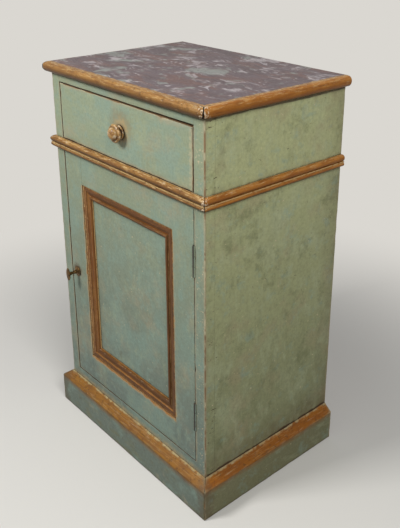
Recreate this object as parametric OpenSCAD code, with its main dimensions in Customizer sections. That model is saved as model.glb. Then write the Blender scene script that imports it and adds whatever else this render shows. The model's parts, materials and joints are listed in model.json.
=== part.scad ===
// Bedside pot cupboard in painted softwood: a drawer over a panelled door, on a bevelled plinth.
// Millimetres, +Z up, front towards -Y. The origin is on the ground, in the middle of the overall box.

/* [Carcass] */
// Width of the body across its side boards
body_w = 455; // [400:5:560]
// Depth of the body, from the face of the front frame to the back
body_d = 335; // [310:5:420]
// Overall height, from the ground to the surface of the top
total_h = 780; // [740:5:900]
// Thickness of the side boards
side_t = 18; // [16:1:21]
// Width of each front stile
stile_w = 27; // [25:1:36]
// Thickness of the front frame and of the door
frame_t = 22; // [20:1:28]
// Height of the rail under the top
top_rail_h = 15.5; // [12:0.5:30]
// Height of the rail between the drawer and the door
mid_rail_h = 22; // [20:1:30]
// Height of the rail under the door
bottom_rail_h = 62; // [40:1:80]
// Thickness of the tenons that join the rails to the stiles
tenon_t = 8; // [5:0.5:10]
// Length of the tenons of the front frame
frame_tenon_l = 14; // [8:1:18]
// Shoulder above and below each tenon of the front frame
frame_shoulder = 3; // [1:0.5:5]
// Thickness of the cupboard's floor board
floor_t = 15; // [12:1:20]
// Thickness of the dust board under the drawer
dust_t = 12; // [8:1:14]
// Depth of the housings in the side boards for the floor and the dust board
housing = 6; // [3:0.5:8]
// Thickness of the back planks
back_t = 12; // [8:1:16]
// Depth of the rebate in the side boards for the back planks
rebate = 9; // [5:0.5:11]
// Number of back planks
plank_count = 3; // [3:1:3]
// Open joint between two back planks
plank_gap = 0.8; // [0.4:0.1:2]
// Radius of the worn outer corners
worn_r = 2; // [1:0.25:3]

/* [Top] */
// Thickness of the top board, which is also the height of its half-round edge
top_t = 20; // [16:1:26]
// How far the top board itself stands past the body at the front and sides
top_lip = 3.5; // [1:0.5:10]
// Open mitre between the front and side mouldings of the top
mitre_gap = 1.2; // [0.4:0.1:2]

/* [Middle moulding] */
// How far the middle moulding stands out of the body
mid_reach = 9; // [7:0.5:14]
// Height of the lower bead
low_bead_h = 9; // [6:0.5:10]
// Height of the groove between the two beads
quirk_h = 1.5; // [0.5:0.5:3]
// Thickness of the moulding behind its groove
quirk_root = 3; // [2:0.5:5]

/* [Base] */
// Height of the upright face of the plinth boards
plinth_h = 64; // [40:1:90]
// Height of the bevel on top of the plinth boards
bevel_h = 14; // [8:1:24]
// Thickness of the plinth boards
plinth_t = 18; // [12:1:24]
// Height of the rail that shows between the plinth and the door
rail_reveal = 19; // [8:1:30]
// Width of the square glue blocks under the floor board
block_w = 24; // [15:1:32]
// Height of the glue blocks
block_h = 64; // [30:1:75]

/* [Drawer] */
// Height of the drawer's opening
drawer_opening_h = 113.5; // [90:0.5:150]
// Depth of the drawer from face to back
drawer_d = 290; // [230:5:295]
// Gap left of the drawer front
drawer_gap = 1.5; // [1:0.25:3]
// Gap under the drawer front
drawer_foot_gap = 1; // [0.5:0.25:2]
// Gap above the drawer front at its left end
drawer_head_gap = 2; // [1:0.25:4]
// How much more the gap above has opened at the right-hand end
drawer_sag = 2.5; // [0:0.25:4]
// How much more the gap on the right has opened at the bottom
drawer_wear = 2; // [0:0.25:2]
// Space between the frame opening and the outside of each drawer side
drawer_side_gap = 3.5; // [3.5:0.25:6]
// Thickness of the drawer's sides and back
drawer_side_t = 12; // [9:1:15]
// Space between the drawer sides and the kickers above them
kick_gap = 2.5; // [1:0.25:5]
// Thickness of the drawer bottom
drawer_floor_t = 6; // [4:1:8]
// Height of the drawer bottom above the lower edge of the sides
drawer_floor_up = 8; // [7.5:0.5:14]
// Depth of the grooves that hold the drawer bottom
drawer_groove = 5; // [3:0.5:7]
// Number of dovetails at each front corner
tail_count = 3; // [2:1:5]
// Length of the dovetails
tail_l = 15; // [10:1:17]
// Width of a dovetail at its root
tail_root_w = 16; // [8:1:18]
// How much wider a dovetail is at its tip
tail_flare = 6; // [3:0.5:8]
// Width of the runners and kickers
runner_w = 28; // [24:1:40]
// Height of the guides beside the drawer
guide_h = 22; // [14:1:30]
// Running gap between the drawer and its runners and guides
run_gap = 0.3; // [0.2:0.05:0.5]
// Width of each drawer stop
stop_w = 30; // [20:1:50]
// Depth of each drawer stop, front to back
stop_d = 15; // [10:1:25]
// Distance of each drawer stop from the middle
stop_x = 110; // [50:5:130]
// How far the drawer stops rise above the runners
stop_rise = 6; // [4:0.5:6.5]

/* [Knob] */
// Radius of the knob's head
knob_r = 17; // [14:0.5:22]
// How far the knob stands out of the drawer front
knob_reach = 24; // [20:0.5:34]
// Radius of the collar at the knob's foot
knob_collar_r = 12.5; // [9:0.5:13]
// Radius of the knob's neck
knob_neck_r = 8; // [6:0.5:8.5]
// Radius of the spigot through the drawer front
spigot_r = 5; // [3:0.5:6]
// Radius of the rounded rim of the knob's head
knob_rim_r = 3.2; // [2:0.2:4]
// Rounding of the collar's edge
knob_collar_round = 1.8; // [1:0.2:2]
// Radius of the button in the middle of the knob
knob_button_r = 7; // [5:0.5:8]
// How far the button stands out of the dome round it
knob_button_up = 3; // [1.5:0.5:4]
// Width and depth of the turned grooves beside the rim and the button
knob_groove = 0.8; // [0.4:0.1:1]

/* [Door] */
// Gap left of the door
door_gap = 2; // [1:0.25:3]
// Gap on the hinge side
hinge_gap = 1; // [0.6:0.1:1.6]
// Gap under the door
door_foot_gap = 2; // [1:0.25:4]
// Gap above the door
door_head_gap = 1.5; // [1:0.25:3]
// Width of the door's stiles
door_stile_w = 57; // [45:1:75]
// Width of the door's rails
door_rail_w = 59.5; // [45:0.5:80]
// Length of the door's tenons
door_tenon_l = 25; // [15:1:35]
// Shoulder between each door tenon and the edges of its rail
door_shoulder = 10; // [6:0.5:12]
// Depth of the panel's face behind the door's face
panel_sink = 8; // [6:0.5:8]
// Depth of the grooves that hold the panel
panel_groove = 8; // [5:0.5:10]
// Room left round the panel in its grooves
panel_play = 1; // [0.5:0.25:2]
// Width of the moulding round the panel
trim_w = 26; // [22:1:34]
// Step down from the door's face to the outer edge of the panel moulding
trim_step = 1.5; // [0.5:0.25:2]
// Width of the flat outer band of the panel moulding
trim_band_w = 7; // [4:0.5:9]
// Radius of the small bead next to the panel
trim_bead_r = 2.8; // [2:0.2:3.4]
// Height of that bead's centre above the thin inner edge
trim_bead_up = 1.1; // [0.5:0.1:1.5]
// Thickness of the moulding's thin inner edge
trim_edge_t = 1.2; // [0.8:0.1:1.6]
// Width of the thin inner edge that shows beside the bead
trim_edge_w = 1.5; // [0.5:0.25:2.5]
// How far the hollow runs in under the bead
trim_hollow_lap = 1; // [0.5:0.25:1.5]
// Gap between the closed door and its stop strip
stop_gap = 0.3; // [0.2:0.05:0.5]
// Height of the door's stop strip
strip_h = 15; // [10:1:20]
// Depth of the door's stop strip
strip_d = 12; // [8:1:20]

/* [Hinges] */
// Length of each hinge
hinge_l = 58; // [45:1:75]
// Distance from the door's end to the middle of the nearer hinge
hinge_inset = 98; // [70:1:130]
// Radius of the hinge barrel
barrel_r = 2.5; // [2.2:0.1:3]
// Radius of the hinge pin
pin_r = 1.2; // [1:0.1:1.4]
// How far the pin's centre stands in front of the door's face
hinge_proud = 0.3; // [0:0.1:1]
// Thickness of the hinge leaves
leaf_t = 1.5; // [1.2:0.1:1.8]
// Width of the hinge leaves from the pin's centre
leaf_w = 17; // [14:1:19]
// Distance between two screws of one leaf
screw_pitch = 19; // [15:1:20]
// Distance of the screws from the pin's centre
screw_in = 10; // [7:0.5:11]
// Length of the hinge screws
screw_l = 12; // [8:1:14]
// Radius of the screw shanks
screw_r = 1.3; // [1:0.1:1.6]
// Radius of the screw heads
screw_head_r = 2.8; // [2.4:0.1:3]
// Running gap round hinge pins and spindle
turn_gap = 0.06; // [0.04:0.01:0.08]
// Clearance round the barrels and between their knuckles
barrel_gap = 0.3; // [0.2:0.05:0.5]

/* [Latch] */
// Height of the latch above the ground
latch_z = 345; // [250:5:450]
// Distance of the latch from the free edge of the door
latch_inset = 19; // [15:1:24]
// How far the latch stands out of the door
latch_reach = 25; // [18:0.5:34]
// Radius of the spindle
spindle_r = 3; // [2:0.25:3.5]
// Height of the oval thumb plate
oval_h = 28; // [20:1:36]
// Width of the oval thumb plate
oval_w = 14; // [10:1:20]
// Thickness of the oval thumb plate
oval_t = 3.6; // [2:0.2:5]
// Step round the edge of the thumb plate
oval_step = 0.9; // [0.5:0.1:1]
// Length of the cone between the spindle and the thumb plate
cone_l = 8; // [5:0.5:10]
// Radius of that cone where it meets the thumb plate
cone_r = 5; // [4:0.5:6]
// Radius of the round rose on the door
rose_r = 10.5; // [8:0.5:12]
// Thickness of the rose at its rim
rose_t = 1.6; // [1:0.2:3]
// Wall of the rose's boss round the spindle
rose_boss_w = 2.2; // [1.5:0.1:3]
// How far the rose's boss stands out of the door
rose_boss_up = 4.2; // [3.4:0.1:5]
// Rounding of the rose's edges
rose_round = 1; // [0.4:0.1:1]
// Length of the tongue from the spindle's centre
tongue_l = 27.5; // [24:0.5:28]
// Width of the tongue
tongue_w = 12; // [8:1:14]
// Thickness of the tongue
tongue_t = 3; // [2:0.5:4]
// Radius of the tongue's round end about the spindle
tongue_hub_r = 7; // [6:0.5:9]
// Width of the square nut behind the tongue
nut_w = 9; // [8:0.5:12]
// Thickness of the nut
nut_t = 3; // [2:0.5:4]

/* [Nails] */
// Radius of the nail heads in the back planks
nail_head_r = 3; // [2:0.5:4]
// Thickness of the nail heads
nail_head_t = 1; // [0.5:0.25:2]
// Radius of the nails
nail_r = 1.2; // [0.8:0.1:1.5]
// Length of the nails
nail_l = 30; // [22:1:40]
// Distance of the nails from the top and bottom of the sides
nail_end = 60; // [30:5:100]

/* [Hidden] */
$fn = 48;
eps = 0.01;

GREEN = "#90a080";
SIDE_GREEN = "#86896a";
GOLD = "#a9752f";
MARBLE = "#786a6b";
BARE_WOOD = "#b08d5e";
BRASS = "#6e5430";
IRON = "#3a332c";

// Main planes of the body
half_w = body_w / 2;
front_reach = max(knob_reach, latch_reach, plinth_t);
front_y = (front_reach - body_d) / 2;
back_y = front_y + body_d;
frame_back_y = front_y + frame_t;
plank_front_y = back_y - back_t;
side_in = half_w - side_t;
open_half_w = half_w - stile_w;
tenon_y = front_y + (frame_t - tenon_t) / 2;

// Levels from the top down and from the ground up
top_under_z = total_h - top_t;
drawer_open_z1 = top_under_z - top_rail_h;
mid_z1 = drawer_open_z1 - drawer_opening_h;
mid_z0 = mid_z1 - mid_rail_h;
floor_z = plinth_h + bevel_h + rail_reveal;
floor_under_z = floor_z - floor_t;
dust_z1 = mid_z0 + dust_t;

// Top
nose_r = top_t / 2;
top_half_w = half_w + top_lip;
top_front_y = front_y - top_lip;

// Drawer
drawer_z0 = mid_z1 + run_gap;
drawer_z1 = drawer_open_z1 - kick_gap;
drawer_h = drawer_z1 - drawer_z0;
drawer_out = open_half_w - drawer_side_gap;
drawer_in = drawer_out - drawer_side_t;
drawer_back_y = front_y + drawer_d;
drawer_front_t = frame_t - run_gap;
drawer_front_back_y = front_y + drawer_front_t;
drawer_floor_z = drawer_z0 + drawer_floor_up;
knob_z = (mid_z1 + drawer_open_z1) / 2;

// Door
door_x0 = -open_half_w + door_gap;
door_x1 = open_half_w - hinge_gap;
door_z0 = floor_z + door_foot_gap;
door_z1 = mid_z0 - door_head_gap;
sight_x0 = door_x0 + door_stile_w;
sight_x1 = door_x1 - door_stile_w;
sight_z0 = door_z0 + door_rail_w;
sight_z1 = door_z1 - door_rail_w;
panel_y = front_y + panel_sink;
strip_y = frame_back_y + stop_gap;

// Hinges
hinge_x = open_half_w - hinge_gap / 2;
hinge_y = front_y - hinge_proud;
knuckle_l = hinge_l / 3;
hinge_levels = [door_z0 + hinge_inset - hinge_l / 2, door_z1 - hinge_inset - hinge_l / 2];

// Latch
latch_x = door_x0 + latch_inset;
tongue_y = frame_back_y + stop_gap;

// Back planks and their nails
plank_half_w = side_in + rebate;
plank_w = (2 * plank_half_w - (plank_count - 1) * plank_gap) / plank_count;
nail_levels = [floor_z - floor_t / 2, mid_z0 + dust_t / 2];
side_nail_levels = [floor_under_z + nail_end, (floor_under_z + top_under_z) / 2, top_under_z - nail_end];

// ---- Shared shapes ----

// Box between two opposite corners
module block(low, high) {
    translate(low) cube(high - low);
}

// Outline drawn in (y, z), run along x
module along_x(x0, x1) {
    translate([x0, 0, 0]) rotate([90, 0, 90]) linear_extrude(x1 - x0) children();
}

// Outline drawn in (x, z), run along y
module along_y(y0, y1) {
    translate([0, y1, 0]) rotate([90, 0, 0]) linear_extrude(y1 - y0) children();
}

// Turned shape drawn in (radius, distance out of a face that looks towards -Y)
module turned_out(at) {
    translate(at) rotate([90, 0, 0]) rotate_extrude() children();
}

// Round bar along y
module bar_y(x, z, y0, y1, r) {
    translate([x, y1, z]) rotate([90, 0, 0]) cylinder(r = r, h = y1 - y0);
}

// Points of an arc
function arc(centre, r, from, to, steps) =
    [for (i = [0 : steps]) centre + r * [cos(from + (to - from) * i / steps), sin(from + (to - from) * i / steps)]];

// Points of an ellipse
function ellipse(a, b, steps) = [for (i = [0 : steps - 1]) [a * cos(360 * i / steps), b * sin(360 * i / steps)]];

// Profile drawn in (out, z), run across the front with mitred ends
module front_run(half, face_y, reach, gap = 0) {
    intersection() {
        along_x(-half - reach, half + reach) translate([face_y, 0]) mirror([1, 0]) children();
        linear_extrude(total_h) polygon([
            [-half + gap, face_y], [half - gap, face_y],
            [half + reach - gap, face_y - reach], [-half - reach + gap, face_y - reach]]);
    }
}

// Profile drawn in (out, z), run back along the right-hand side with its front end mitred
module side_run(half, face_y, reach) {
    intersection() {
        along_y(face_y - reach, back_y) translate([half, 0]) children();
        linear_extrude(total_h) polygon([
            [half, face_y], [half + reach, face_y - reach], [half + reach, back_y], [half, back_y]]);
    }
}

module mirrored() {
    mirror([1, 0, 0]) children();
}

// ---- Top ----

module top_board() {
    color(MARBLE)
    block([-top_half_w, top_front_y, top_under_z], [top_half_w, back_y, total_h]);
}

module nose_profile() {
    translate([0, top_under_z + nose_r]) intersection() {
        circle(nose_r);
        translate([0, -nose_r]) square([nose_r, top_t]);
    }
}

module top_moulding_front() {
    color(GOLD) front_run(top_half_w, top_front_y, nose_r, mitre_gap) nose_profile();
}

module top_moulding_right() {
    color(GOLD) side_run(top_half_w, top_front_y, nose_r) nose_profile();
}

module top_moulding_left() {
    mirrored() top_moulding_right();
}

// ---- Carcass ----

// Nails through the back planks into the sides, the floor board and the dust board
module nail_set(ease = 0) {
    places = concat(
        [for (z = nail_levels, i = [0 : plank_count - 1], side = [-1, 1])
            [-plank_half_w + (i + 0.5 + side / 4) * (plank_w + plank_gap), z]],
        [for (z = side_nail_levels, side = [-1, 1]) [side * (side_in + rebate / 2), z]]);
    for (p = places) {
        bar_y(p[0], p[1], back_y - nail_l, back_y, nail_r);
        bar_y(p[0], p[1], back_y - nail_head_t, back_y + ease, nail_head_r);
    }
}

module back_nails() {
    color(IRON) nail_set();
}

module side_right() {
    color(SIDE_GREEN)
    difference() {
        block([side_in, frame_back_y, 0], [half_w, back_y, top_under_z]);
        block([side_in - eps, frame_back_y - eps, floor_under_z], [side_in + housing, plank_front_y, floor_z]);
        block([side_in - eps, frame_back_y - eps, mid_z0], [side_in + housing, plank_front_y, dust_z1]);
        block([side_in - eps, plank_front_y, -eps], [plank_half_w, back_y + eps, top_under_z + eps]);
        nail_set();
    }
}

module side_left() {
    mirrored() side_right();
}

// Tenons on both ends of a rail of the front frame
module frame_tenons(z0, z1) {
    for (side = [-1, 1])
        block([side > 0 ? open_half_w - eps : -open_half_w - frame_tenon_l, tenon_y, z0 + frame_shoulder],
              [side > 0 ? open_half_w + frame_tenon_l : -open_half_w + eps, tenon_y + tenon_t, z1 - frame_shoulder]);
}

module frame_rail(z0, z1) {
    union() {
        block([-open_half_w, front_y, z0], [open_half_w, frame_back_y, z1]);
        frame_tenons(z0, z1);
    }
}

module top_rail() {
    color(GREEN) frame_rail(drawer_open_z1, top_under_z);
}

module middle_rail() {
    color(GREEN) frame_rail(mid_z0, mid_z1);
}

module bottom_rail() {
    color(GREEN) frame_rail(floor_z - bottom_rail_h, floor_z);
}

// Stile of the front frame, with its outer corner worn round, on the right
module stile_blank() {
    difference() {
        linear_extrude(top_under_z) polygon(concat(
            [[half_w, frame_back_y], [open_half_w, frame_back_y], [open_half_w, front_y]],
            arc([half_w - worn_r, front_y + worn_r], worn_r, -90, 0, 5)));
        frame_tenons(drawer_open_z1, top_under_z);
        frame_tenons(mid_z0, mid_z1);
        frame_tenons(floor_z - bottom_rail_h, floor_z);
    }
}

module front_stile_right() {
    color(GREEN)
    difference() {
        stile_blank();
        for (z = hinge_levels) translate([hinge_x, hinge_y, z]) hinge_pocket(1);
    }
}

module front_stile_left() {
    color(GREEN) mirrored() stile_blank();
}

module floor_board() {
    color(BARE_WOOD)
    difference() {
        block([-side_in - housing, frame_back_y, floor_under_z], [side_in + housing, plank_front_y, floor_z]);
        nail_set();
    }
}

module dust_board() {
    color(BARE_WOOD)
    difference() {
        block([-side_in - housing, frame_back_y, mid_z0], [side_in + housing, plank_front_y, dust_z1]);
        nail_set();
    }
}

module back_plank(place) {
    x0 = -plank_half_w + place * (plank_w + plank_gap);
    color(BARE_WOOD)
    difference() {
        block([x0, plank_front_y, floor_under_z], [x0 + plank_w, back_y, top_under_z]);
        nail_set(eps);
    }
}

module glue_blocks() {
    color(BARE_WOOD)
    for (x = [-side_in, side_in - block_w], y = [frame_back_y, plank_front_y - block_w])
        block([x, y, floor_under_z - block_h], [x + block_w, y + block_w, floor_under_z]);
}

// ---- Middle moulding and plinth ----

// Two beads with a groove between them; the upper bead takes the height that is left
module bead_profile() {
    low_r = low_bead_h / 2;
    high_r = (mid_rail_h - quirk_h - low_bead_h) / 2;
    translate([0, mid_z0]) {
        square([quirk_root, mid_rail_h]);
        square([mid_reach - low_r, low_bead_h]);
        translate([mid_reach - low_r, low_r]) circle(low_r);
        translate([0, mid_rail_h - 2 * high_r]) square([mid_reach - high_r, 2 * high_r]);
        translate([mid_reach - high_r, mid_rail_h - high_r]) circle(high_r);
    }
}

module mid_moulding_front() {
    color(GOLD) front_run(half_w, front_y, mid_reach) bead_profile();
}

module mid_moulding_right() {
    color(GOLD) side_run(half_w, front_y, mid_reach) bead_profile();
}

module mid_moulding_left() {
    mirrored() mid_moulding_right();
}

// The upright face of the plinth is green and its bevel is gold
module plinth_face_profile() {
    square([plinth_t, plinth_h]);
}

module plinth_bevel_profile() {
    polygon([[0, plinth_h - eps], [plinth_t, plinth_h - eps], [plinth_t, plinth_h], [0, plinth_h + bevel_h]]);
}

module plinth_front() {
    color(GREEN) front_run(half_w, front_y, plinth_t) plinth_face_profile();
    color(GOLD) front_run(half_w, front_y, plinth_t) plinth_bevel_profile();
}

module plinth_right() {
    color(SIDE_GREEN) side_run(half_w, front_y, plinth_t) plinth_face_profile();
    color(GOLD) side_run(half_w, front_y, plinth_t) plinth_bevel_profile();
}

module plinth_left() {
    mirrored() plinth_right();
}

// ---- What the drawer runs on ----

module drawer_runner() {
    color(BARE_WOOD) block([side_in - runner_w, frame_back_y, dust_z1], [side_in, plank_front_y, mid_z1]);
}

module drawer_guide() {
    color(BARE_WOOD)
    block([drawer_out + run_gap, frame_back_y, mid_z1], [side_in, plank_front_y, mid_z1 + guide_h]);
}

module drawer_kicker() {
    color(BARE_WOOD) block([side_in - runner_w, frame_back_y, drawer_open_z1], [side_in, plank_front_y, top_under_z]);
}

module drawer_stops() {
    color(BARE_WOOD)
    for (x = [-stop_x, stop_x])
        block([x - stop_w / 2, frame_back_y, dust_z1], [x + stop_w / 2, frame_back_y + stop_d, mid_z1 + stop_rise]);
}

module door_stop_strip() {
    color(BARE_WOOD) block([-side_in, strip_y, mid_z0 - strip_h], [side_in, strip_y + strip_d, mid_z0]);
}

// ---- Drawer ----

// Outline of one side's dovetails in (y, z), measured from the front's inner face
module tails_profile() {
    pitch = drawer_h / tail_count;
    for (i = [0 : tail_count - 1])
        translate([drawer_front_back_y, drawer_z0 + (i + 0.5) * pitch])
            polygon([
                [eps, -tail_root_w / 2], [eps, tail_root_w / 2], [0, tail_root_w / 2],
                [-tail_l, (tail_root_w + tail_flare) / 2], [-tail_l, -(tail_root_w + tail_flare) / 2],
                [0, -tail_root_w / 2]]);
}

// Face of the drawer front in (x, z): sagged at the right of its top, worn at the right of its foot
function drawer_face(ease) = [
    [-open_half_w + drawer_gap + ease, mid_z1 + drawer_foot_gap + ease],
    [open_half_w - drawer_gap - drawer_wear - ease, mid_z1 + drawer_foot_gap + ease],
    [open_half_w - drawer_gap - ease, drawer_open_z1 - drawer_head_gap - drawer_sag - ease],
    [-open_half_w + drawer_gap + ease, drawer_open_z1 - drawer_head_gap - ease]];

module drawer_front() {
    color(GREEN)
    difference() {
        hull() {
            along_y(front_y, front_y + eps) polygon(drawer_face(worn_r / 2));
            along_y(front_y + worn_r / 6, front_y + worn_r / 2) polygon(drawer_face(worn_r / 8));
            along_y(front_y + worn_r / 2, drawer_front_back_y) polygon(drawer_face(0));
        }
        for (side = [-1, 1])
            along_x(side > 0 ? drawer_in : -half_w, side > 0 ? half_w : -drawer_in) tails_profile();
        block([-drawer_in - drawer_groove, drawer_front_back_y - drawer_groove, drawer_floor_z],
              [drawer_in + drawer_groove, drawer_front_back_y + eps, drawer_floor_z + drawer_floor_t]);
        bar_y(0, knob_z, front_y - eps, drawer_front_back_y + eps, spigot_r);
    }
}

module drawer_side_right() {
    color(BARE_WOOD)
    difference() {
        union() {
            block([drawer_in, drawer_front_back_y, drawer_z0], [drawer_out, drawer_back_y, drawer_z1]);
            along_x(drawer_in, drawer_out) tails_profile();
        }
        block([drawer_in - eps, drawer_front_back_y - drawer_groove, drawer_floor_z],
              [drawer_in + drawer_groove, drawer_back_y + eps, drawer_floor_z + drawer_floor_t]);
        block([drawer_in - eps, drawer_back_y - drawer_side_t - drawer_groove, drawer_floor_z + drawer_floor_t],
              [drawer_in + drawer_groove, drawer_back_y - drawer_groove, drawer_z1 + eps]);
    }
}

module drawer_side_left() {
    mirrored() drawer_side_right();
}

module drawer_back() {
    color(BARE_WOOD)
    block([-drawer_in - drawer_groove, drawer_back_y - drawer_side_t - drawer_groove, drawer_floor_z + drawer_floor_t],
          [drawer_in + drawer_groove, drawer_back_y - drawer_groove, drawer_z1]);
}

module drawer_bottom() {
    color(BARE_WOOD)
    block([-drawer_in - drawer_groove, drawer_front_back_y - drawer_groove, drawer_floor_z],
          [drawer_in + drawer_groove, drawer_back_y, drawer_floor_z + drawer_floor_t]);
}

// Turned knob: rounded collar, neck, thick rim, and a dome with a button in its middle
module drawer_knob() {
    round = knob_collar_round;
    rim_out = knob_reach / 2;
    dome_r = knob_r - knob_rim_r - knob_groove;
    dome_out = rim_out + knob_rim_r;
    button_out = knob_reach - knob_button_up;
    color(GOLD) union() {
        turned_out([0, front_y, knob_z]) polygon(concat(
            [[0, 0]],
            arc([knob_collar_r - round, round], round, -90, 90, 6),
            arc([knob_neck_r + round, 3 * round], round, 270, 180, 4),
            arc([knob_r - knob_rim_r, rim_out], knob_rim_r, -90, 90, 8),
            [[dome_r, dome_out - knob_groove], [dome_r, dome_out]],
            [for (a = [15 : 15 : 75])
                [dome_r - (dome_r - knob_button_r) * sin(a), button_out - (button_out - dome_out) * cos(a)]],
            [[knob_button_r, button_out - knob_groove]],
            [for (a = [0 : 15 : 90]) [knob_button_r * cos(a), button_out + knob_button_up * sin(a)]]));
        bar_y(0, knob_z, front_y - eps, drawer_front_back_y, spigot_r);
    }
}

// ---- Door ----

// Tenons on both ends of a door rail between two levels
module door_tenons(z0, z1) {
    block([sight_x0 - door_tenon_l, panel_y, z0], [sight_x0 + eps, panel_y + tenon_t, z1]);
    block([sight_x1 - eps, panel_y, z0], [sight_x1 + door_tenon_l, panel_y + tenon_t, z1]);
}

module low_door_tenons() {
    door_tenons(door_z0 + door_shoulder, sight_z0 - panel_groove - door_shoulder / 2);
}

module high_door_tenons() {
    door_tenons(sight_z1 + panel_groove + door_shoulder / 2, door_z1 - door_shoulder);
}

// Space that the panel's edges take in the frame
module panel_grooves() {
    block([sight_x0 - panel_groove, panel_y, sight_z0 - panel_groove],
          [sight_x1 + panel_groove, panel_y + tenon_t, sight_z1 + panel_groove]);
}

// Door stile in its own place, with the outer front corner worn round
module door_stile(x_free, x_sight) {
    out = sign(x_free - x_sight);
    difference() {
        translate([0, 0, door_z0]) linear_extrude(door_z1 - door_z0) polygon(concat(
            [[x_sight, front_y], [x_sight, frame_back_y], [x_free, frame_back_y]],
            [for (p = arc([0, front_y + worn_r / 2], worn_r / 2, 0, -90, 4)) [x_free - out * worn_r / 2 + out * p[0], p[1]]]));
        panel_grooves();
        low_door_tenons();
        high_door_tenons();
    }
}

module door_stile_latch() {
    color(GREEN)
    difference() {
        door_stile(door_x0, sight_x0);
        bar_y(latch_x, latch_z, front_y - eps, frame_back_y + eps, spindle_r + turn_gap);
    }
}

module door_stile_hinge() {
    color(GREEN)
    difference() {
        door_stile(door_x1, sight_x1);
        for (z = hinge_levels) translate([hinge_x, hinge_y, z]) hinge_pocket(-1);
    }
}

module door_rail_bottom() {
    color(GREEN)
    difference() {
        union() {
            block([sight_x0, front_y, door_z0], [sight_x1, frame_back_y, sight_z0]);
            low_door_tenons();
        }
        panel_grooves();
    }
}

module door_rail_top() {
    color(GREEN)
    difference() {
        union() {
            block([sight_x0, front_y, sight_z1], [sight_x1, frame_back_y, door_z1]);
            high_door_tenons();
        }
        panel_grooves();
    }
}

module door_panel() {
    room = panel_groove - panel_play;
    color(GREEN)
    block([sight_x0 - room, panel_y, sight_z0 - room], [sight_x1 + room, panel_y + tenon_t, sight_z1 + room]);
}

// Panel moulding in (in from the frame's edge, out of the panel): a band, a hollow and a small bead
module trim_profile() {
    band_up = panel_sink - trim_step;
    bead_in = trim_w - trim_edge_w - trim_bead_r;
    bead_z = trim_edge_t + trim_bead_up;
    hollow_r = bead_in - trim_bead_r + trim_hollow_lap - trim_band_w;
    difference() {
        union() {
            square([trim_w, trim_edge_t]);
            square([bead_in - trim_bead_r, band_up]);
            intersection() {
                translate([bead_in, bead_z]) circle(trim_bead_r);
                translate([bead_in - trim_bead_r, 0]) square([2 * trim_bead_r, panel_sink]);
            }
        }
        translate([trim_band_w + hollow_r, trim_edge_t + hollow_r]) circle(hollow_r);
    }
}

// One length of panel moulding: it runs up z, its inner edge lies towards +X, and both ends are mitred
module trim_run(len) {
    intersection() {
        linear_extrude(len) mirror([0, 1]) trim_profile();
        along_y(-panel_sink, eps) polygon([[0, 0], [trim_w, trim_w], [trim_w, len - trim_w], [0, len]]);
    }
}

module panel_trim_left() {
    color(GOLD) translate([sight_x0, panel_y, sight_z0]) trim_run(sight_z1 - sight_z0);
}

module panel_trim_right() {
    color(GOLD) translate([sight_x1, panel_y, sight_z0]) mirror([1, 0, 0]) trim_run(sight_z1 - sight_z0);
}

module panel_trim_top() {
    color(GOLD) translate([sight_x0, panel_y, sight_z1]) rotate([0, 90, 0]) trim_run(sight_x1 - sight_x0);
}

module panel_trim_bottom() {
    color(GOLD)
    translate([sight_x0, panel_y, sight_z0]) mirror([0, 0, 1]) rotate([0, 90, 0]) trim_run(sight_x1 - sight_x0);
}

// ---- Hinges ----

// Plate of a leaf beside the pin; side is 1 on the frame and -1 on the door
module leaf_plate(side) {
    inner = side * hinge_gap / 2;
    outer = side * (hinge_gap / 2 + leaf_t);
    block([min(inner, outer), 0, 0], [max(inner, outer), leaf_w, hinge_l]);
}

// Screws of one leaf, driven away from the gap; their heads lie flush in the leaf
module leaf_screws(side) {
    for (i = [-1 : 1])
        translate([side * hinge_gap / 2, screw_in, hinge_l / 2 + i * screw_pitch]) rotate([0, side * 90, 0]) {
            cylinder(r1 = screw_head_r, r2 = screw_r, h = leaf_t);
            cylinder(r = screw_r, h = screw_l);
        }
}

// Everything that is cut from the wood for one leaf, from the pin in the gap outwards
module hinge_pocket(side) {
    outer = side * (hinge_gap / 2 + leaf_t);
    block([min(0, outer), 0, 0], [max(0, outer), leaf_w, hinge_l]);
    translate([0, 0, -barrel_gap]) cylinder(r = barrel_r + barrel_gap, h = hinge_l + 2 * barrel_gap);
    leaf_screws(side);
}

// One leaf with its knuckles; starts lists the lower end of each knuckle, others those of the facing leaf
module hinge_leaf(side, starts, others, bore_r) {
    difference() {
        union() {
            leaf_plate(side);
            for (z = starts) translate([0, 0, z]) cylinder(r = barrel_r, h = knuckle_l);
        }
        for (z = others)
            translate([0, 0, z - barrel_gap]) cylinder(r = barrel_r + barrel_gap, h = knuckle_l + 2 * barrel_gap);
        translate([0, 0, -eps]) cylinder(r = bore_r, h = hinge_l + 2 * eps);
        leaf_screws(side);
    }
}

module hinge_leaf_frame() {
    color(IRON)
    for (z = hinge_levels)
        translate([hinge_x, hinge_y, z]) hinge_leaf(1, [0, 2 * knuckle_l], [knuckle_l], pin_r);
}

module hinge_leaf_door() {
    color(IRON)
    for (z = hinge_levels)
        translate([hinge_x, hinge_y, z]) hinge_leaf(-1, [knuckle_l], [0, 2 * knuckle_l], pin_r + turn_gap);
}

module hinge_pins() {
    color(IRON) for (z = hinge_levels) translate([hinge_x, hinge_y, z]) cylinder(r = pin_r, h = hinge_l);
}

module hinge_screws_frame() {
    color(IRON) for (z = hinge_levels) translate([hinge_x, hinge_y, z]) leaf_screws(1);
}

module hinge_screws_door() {
    color(IRON) for (z = hinge_levels) translate([hinge_x, hinge_y, z]) leaf_screws(-1);
}

// ---- Latch ----

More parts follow.
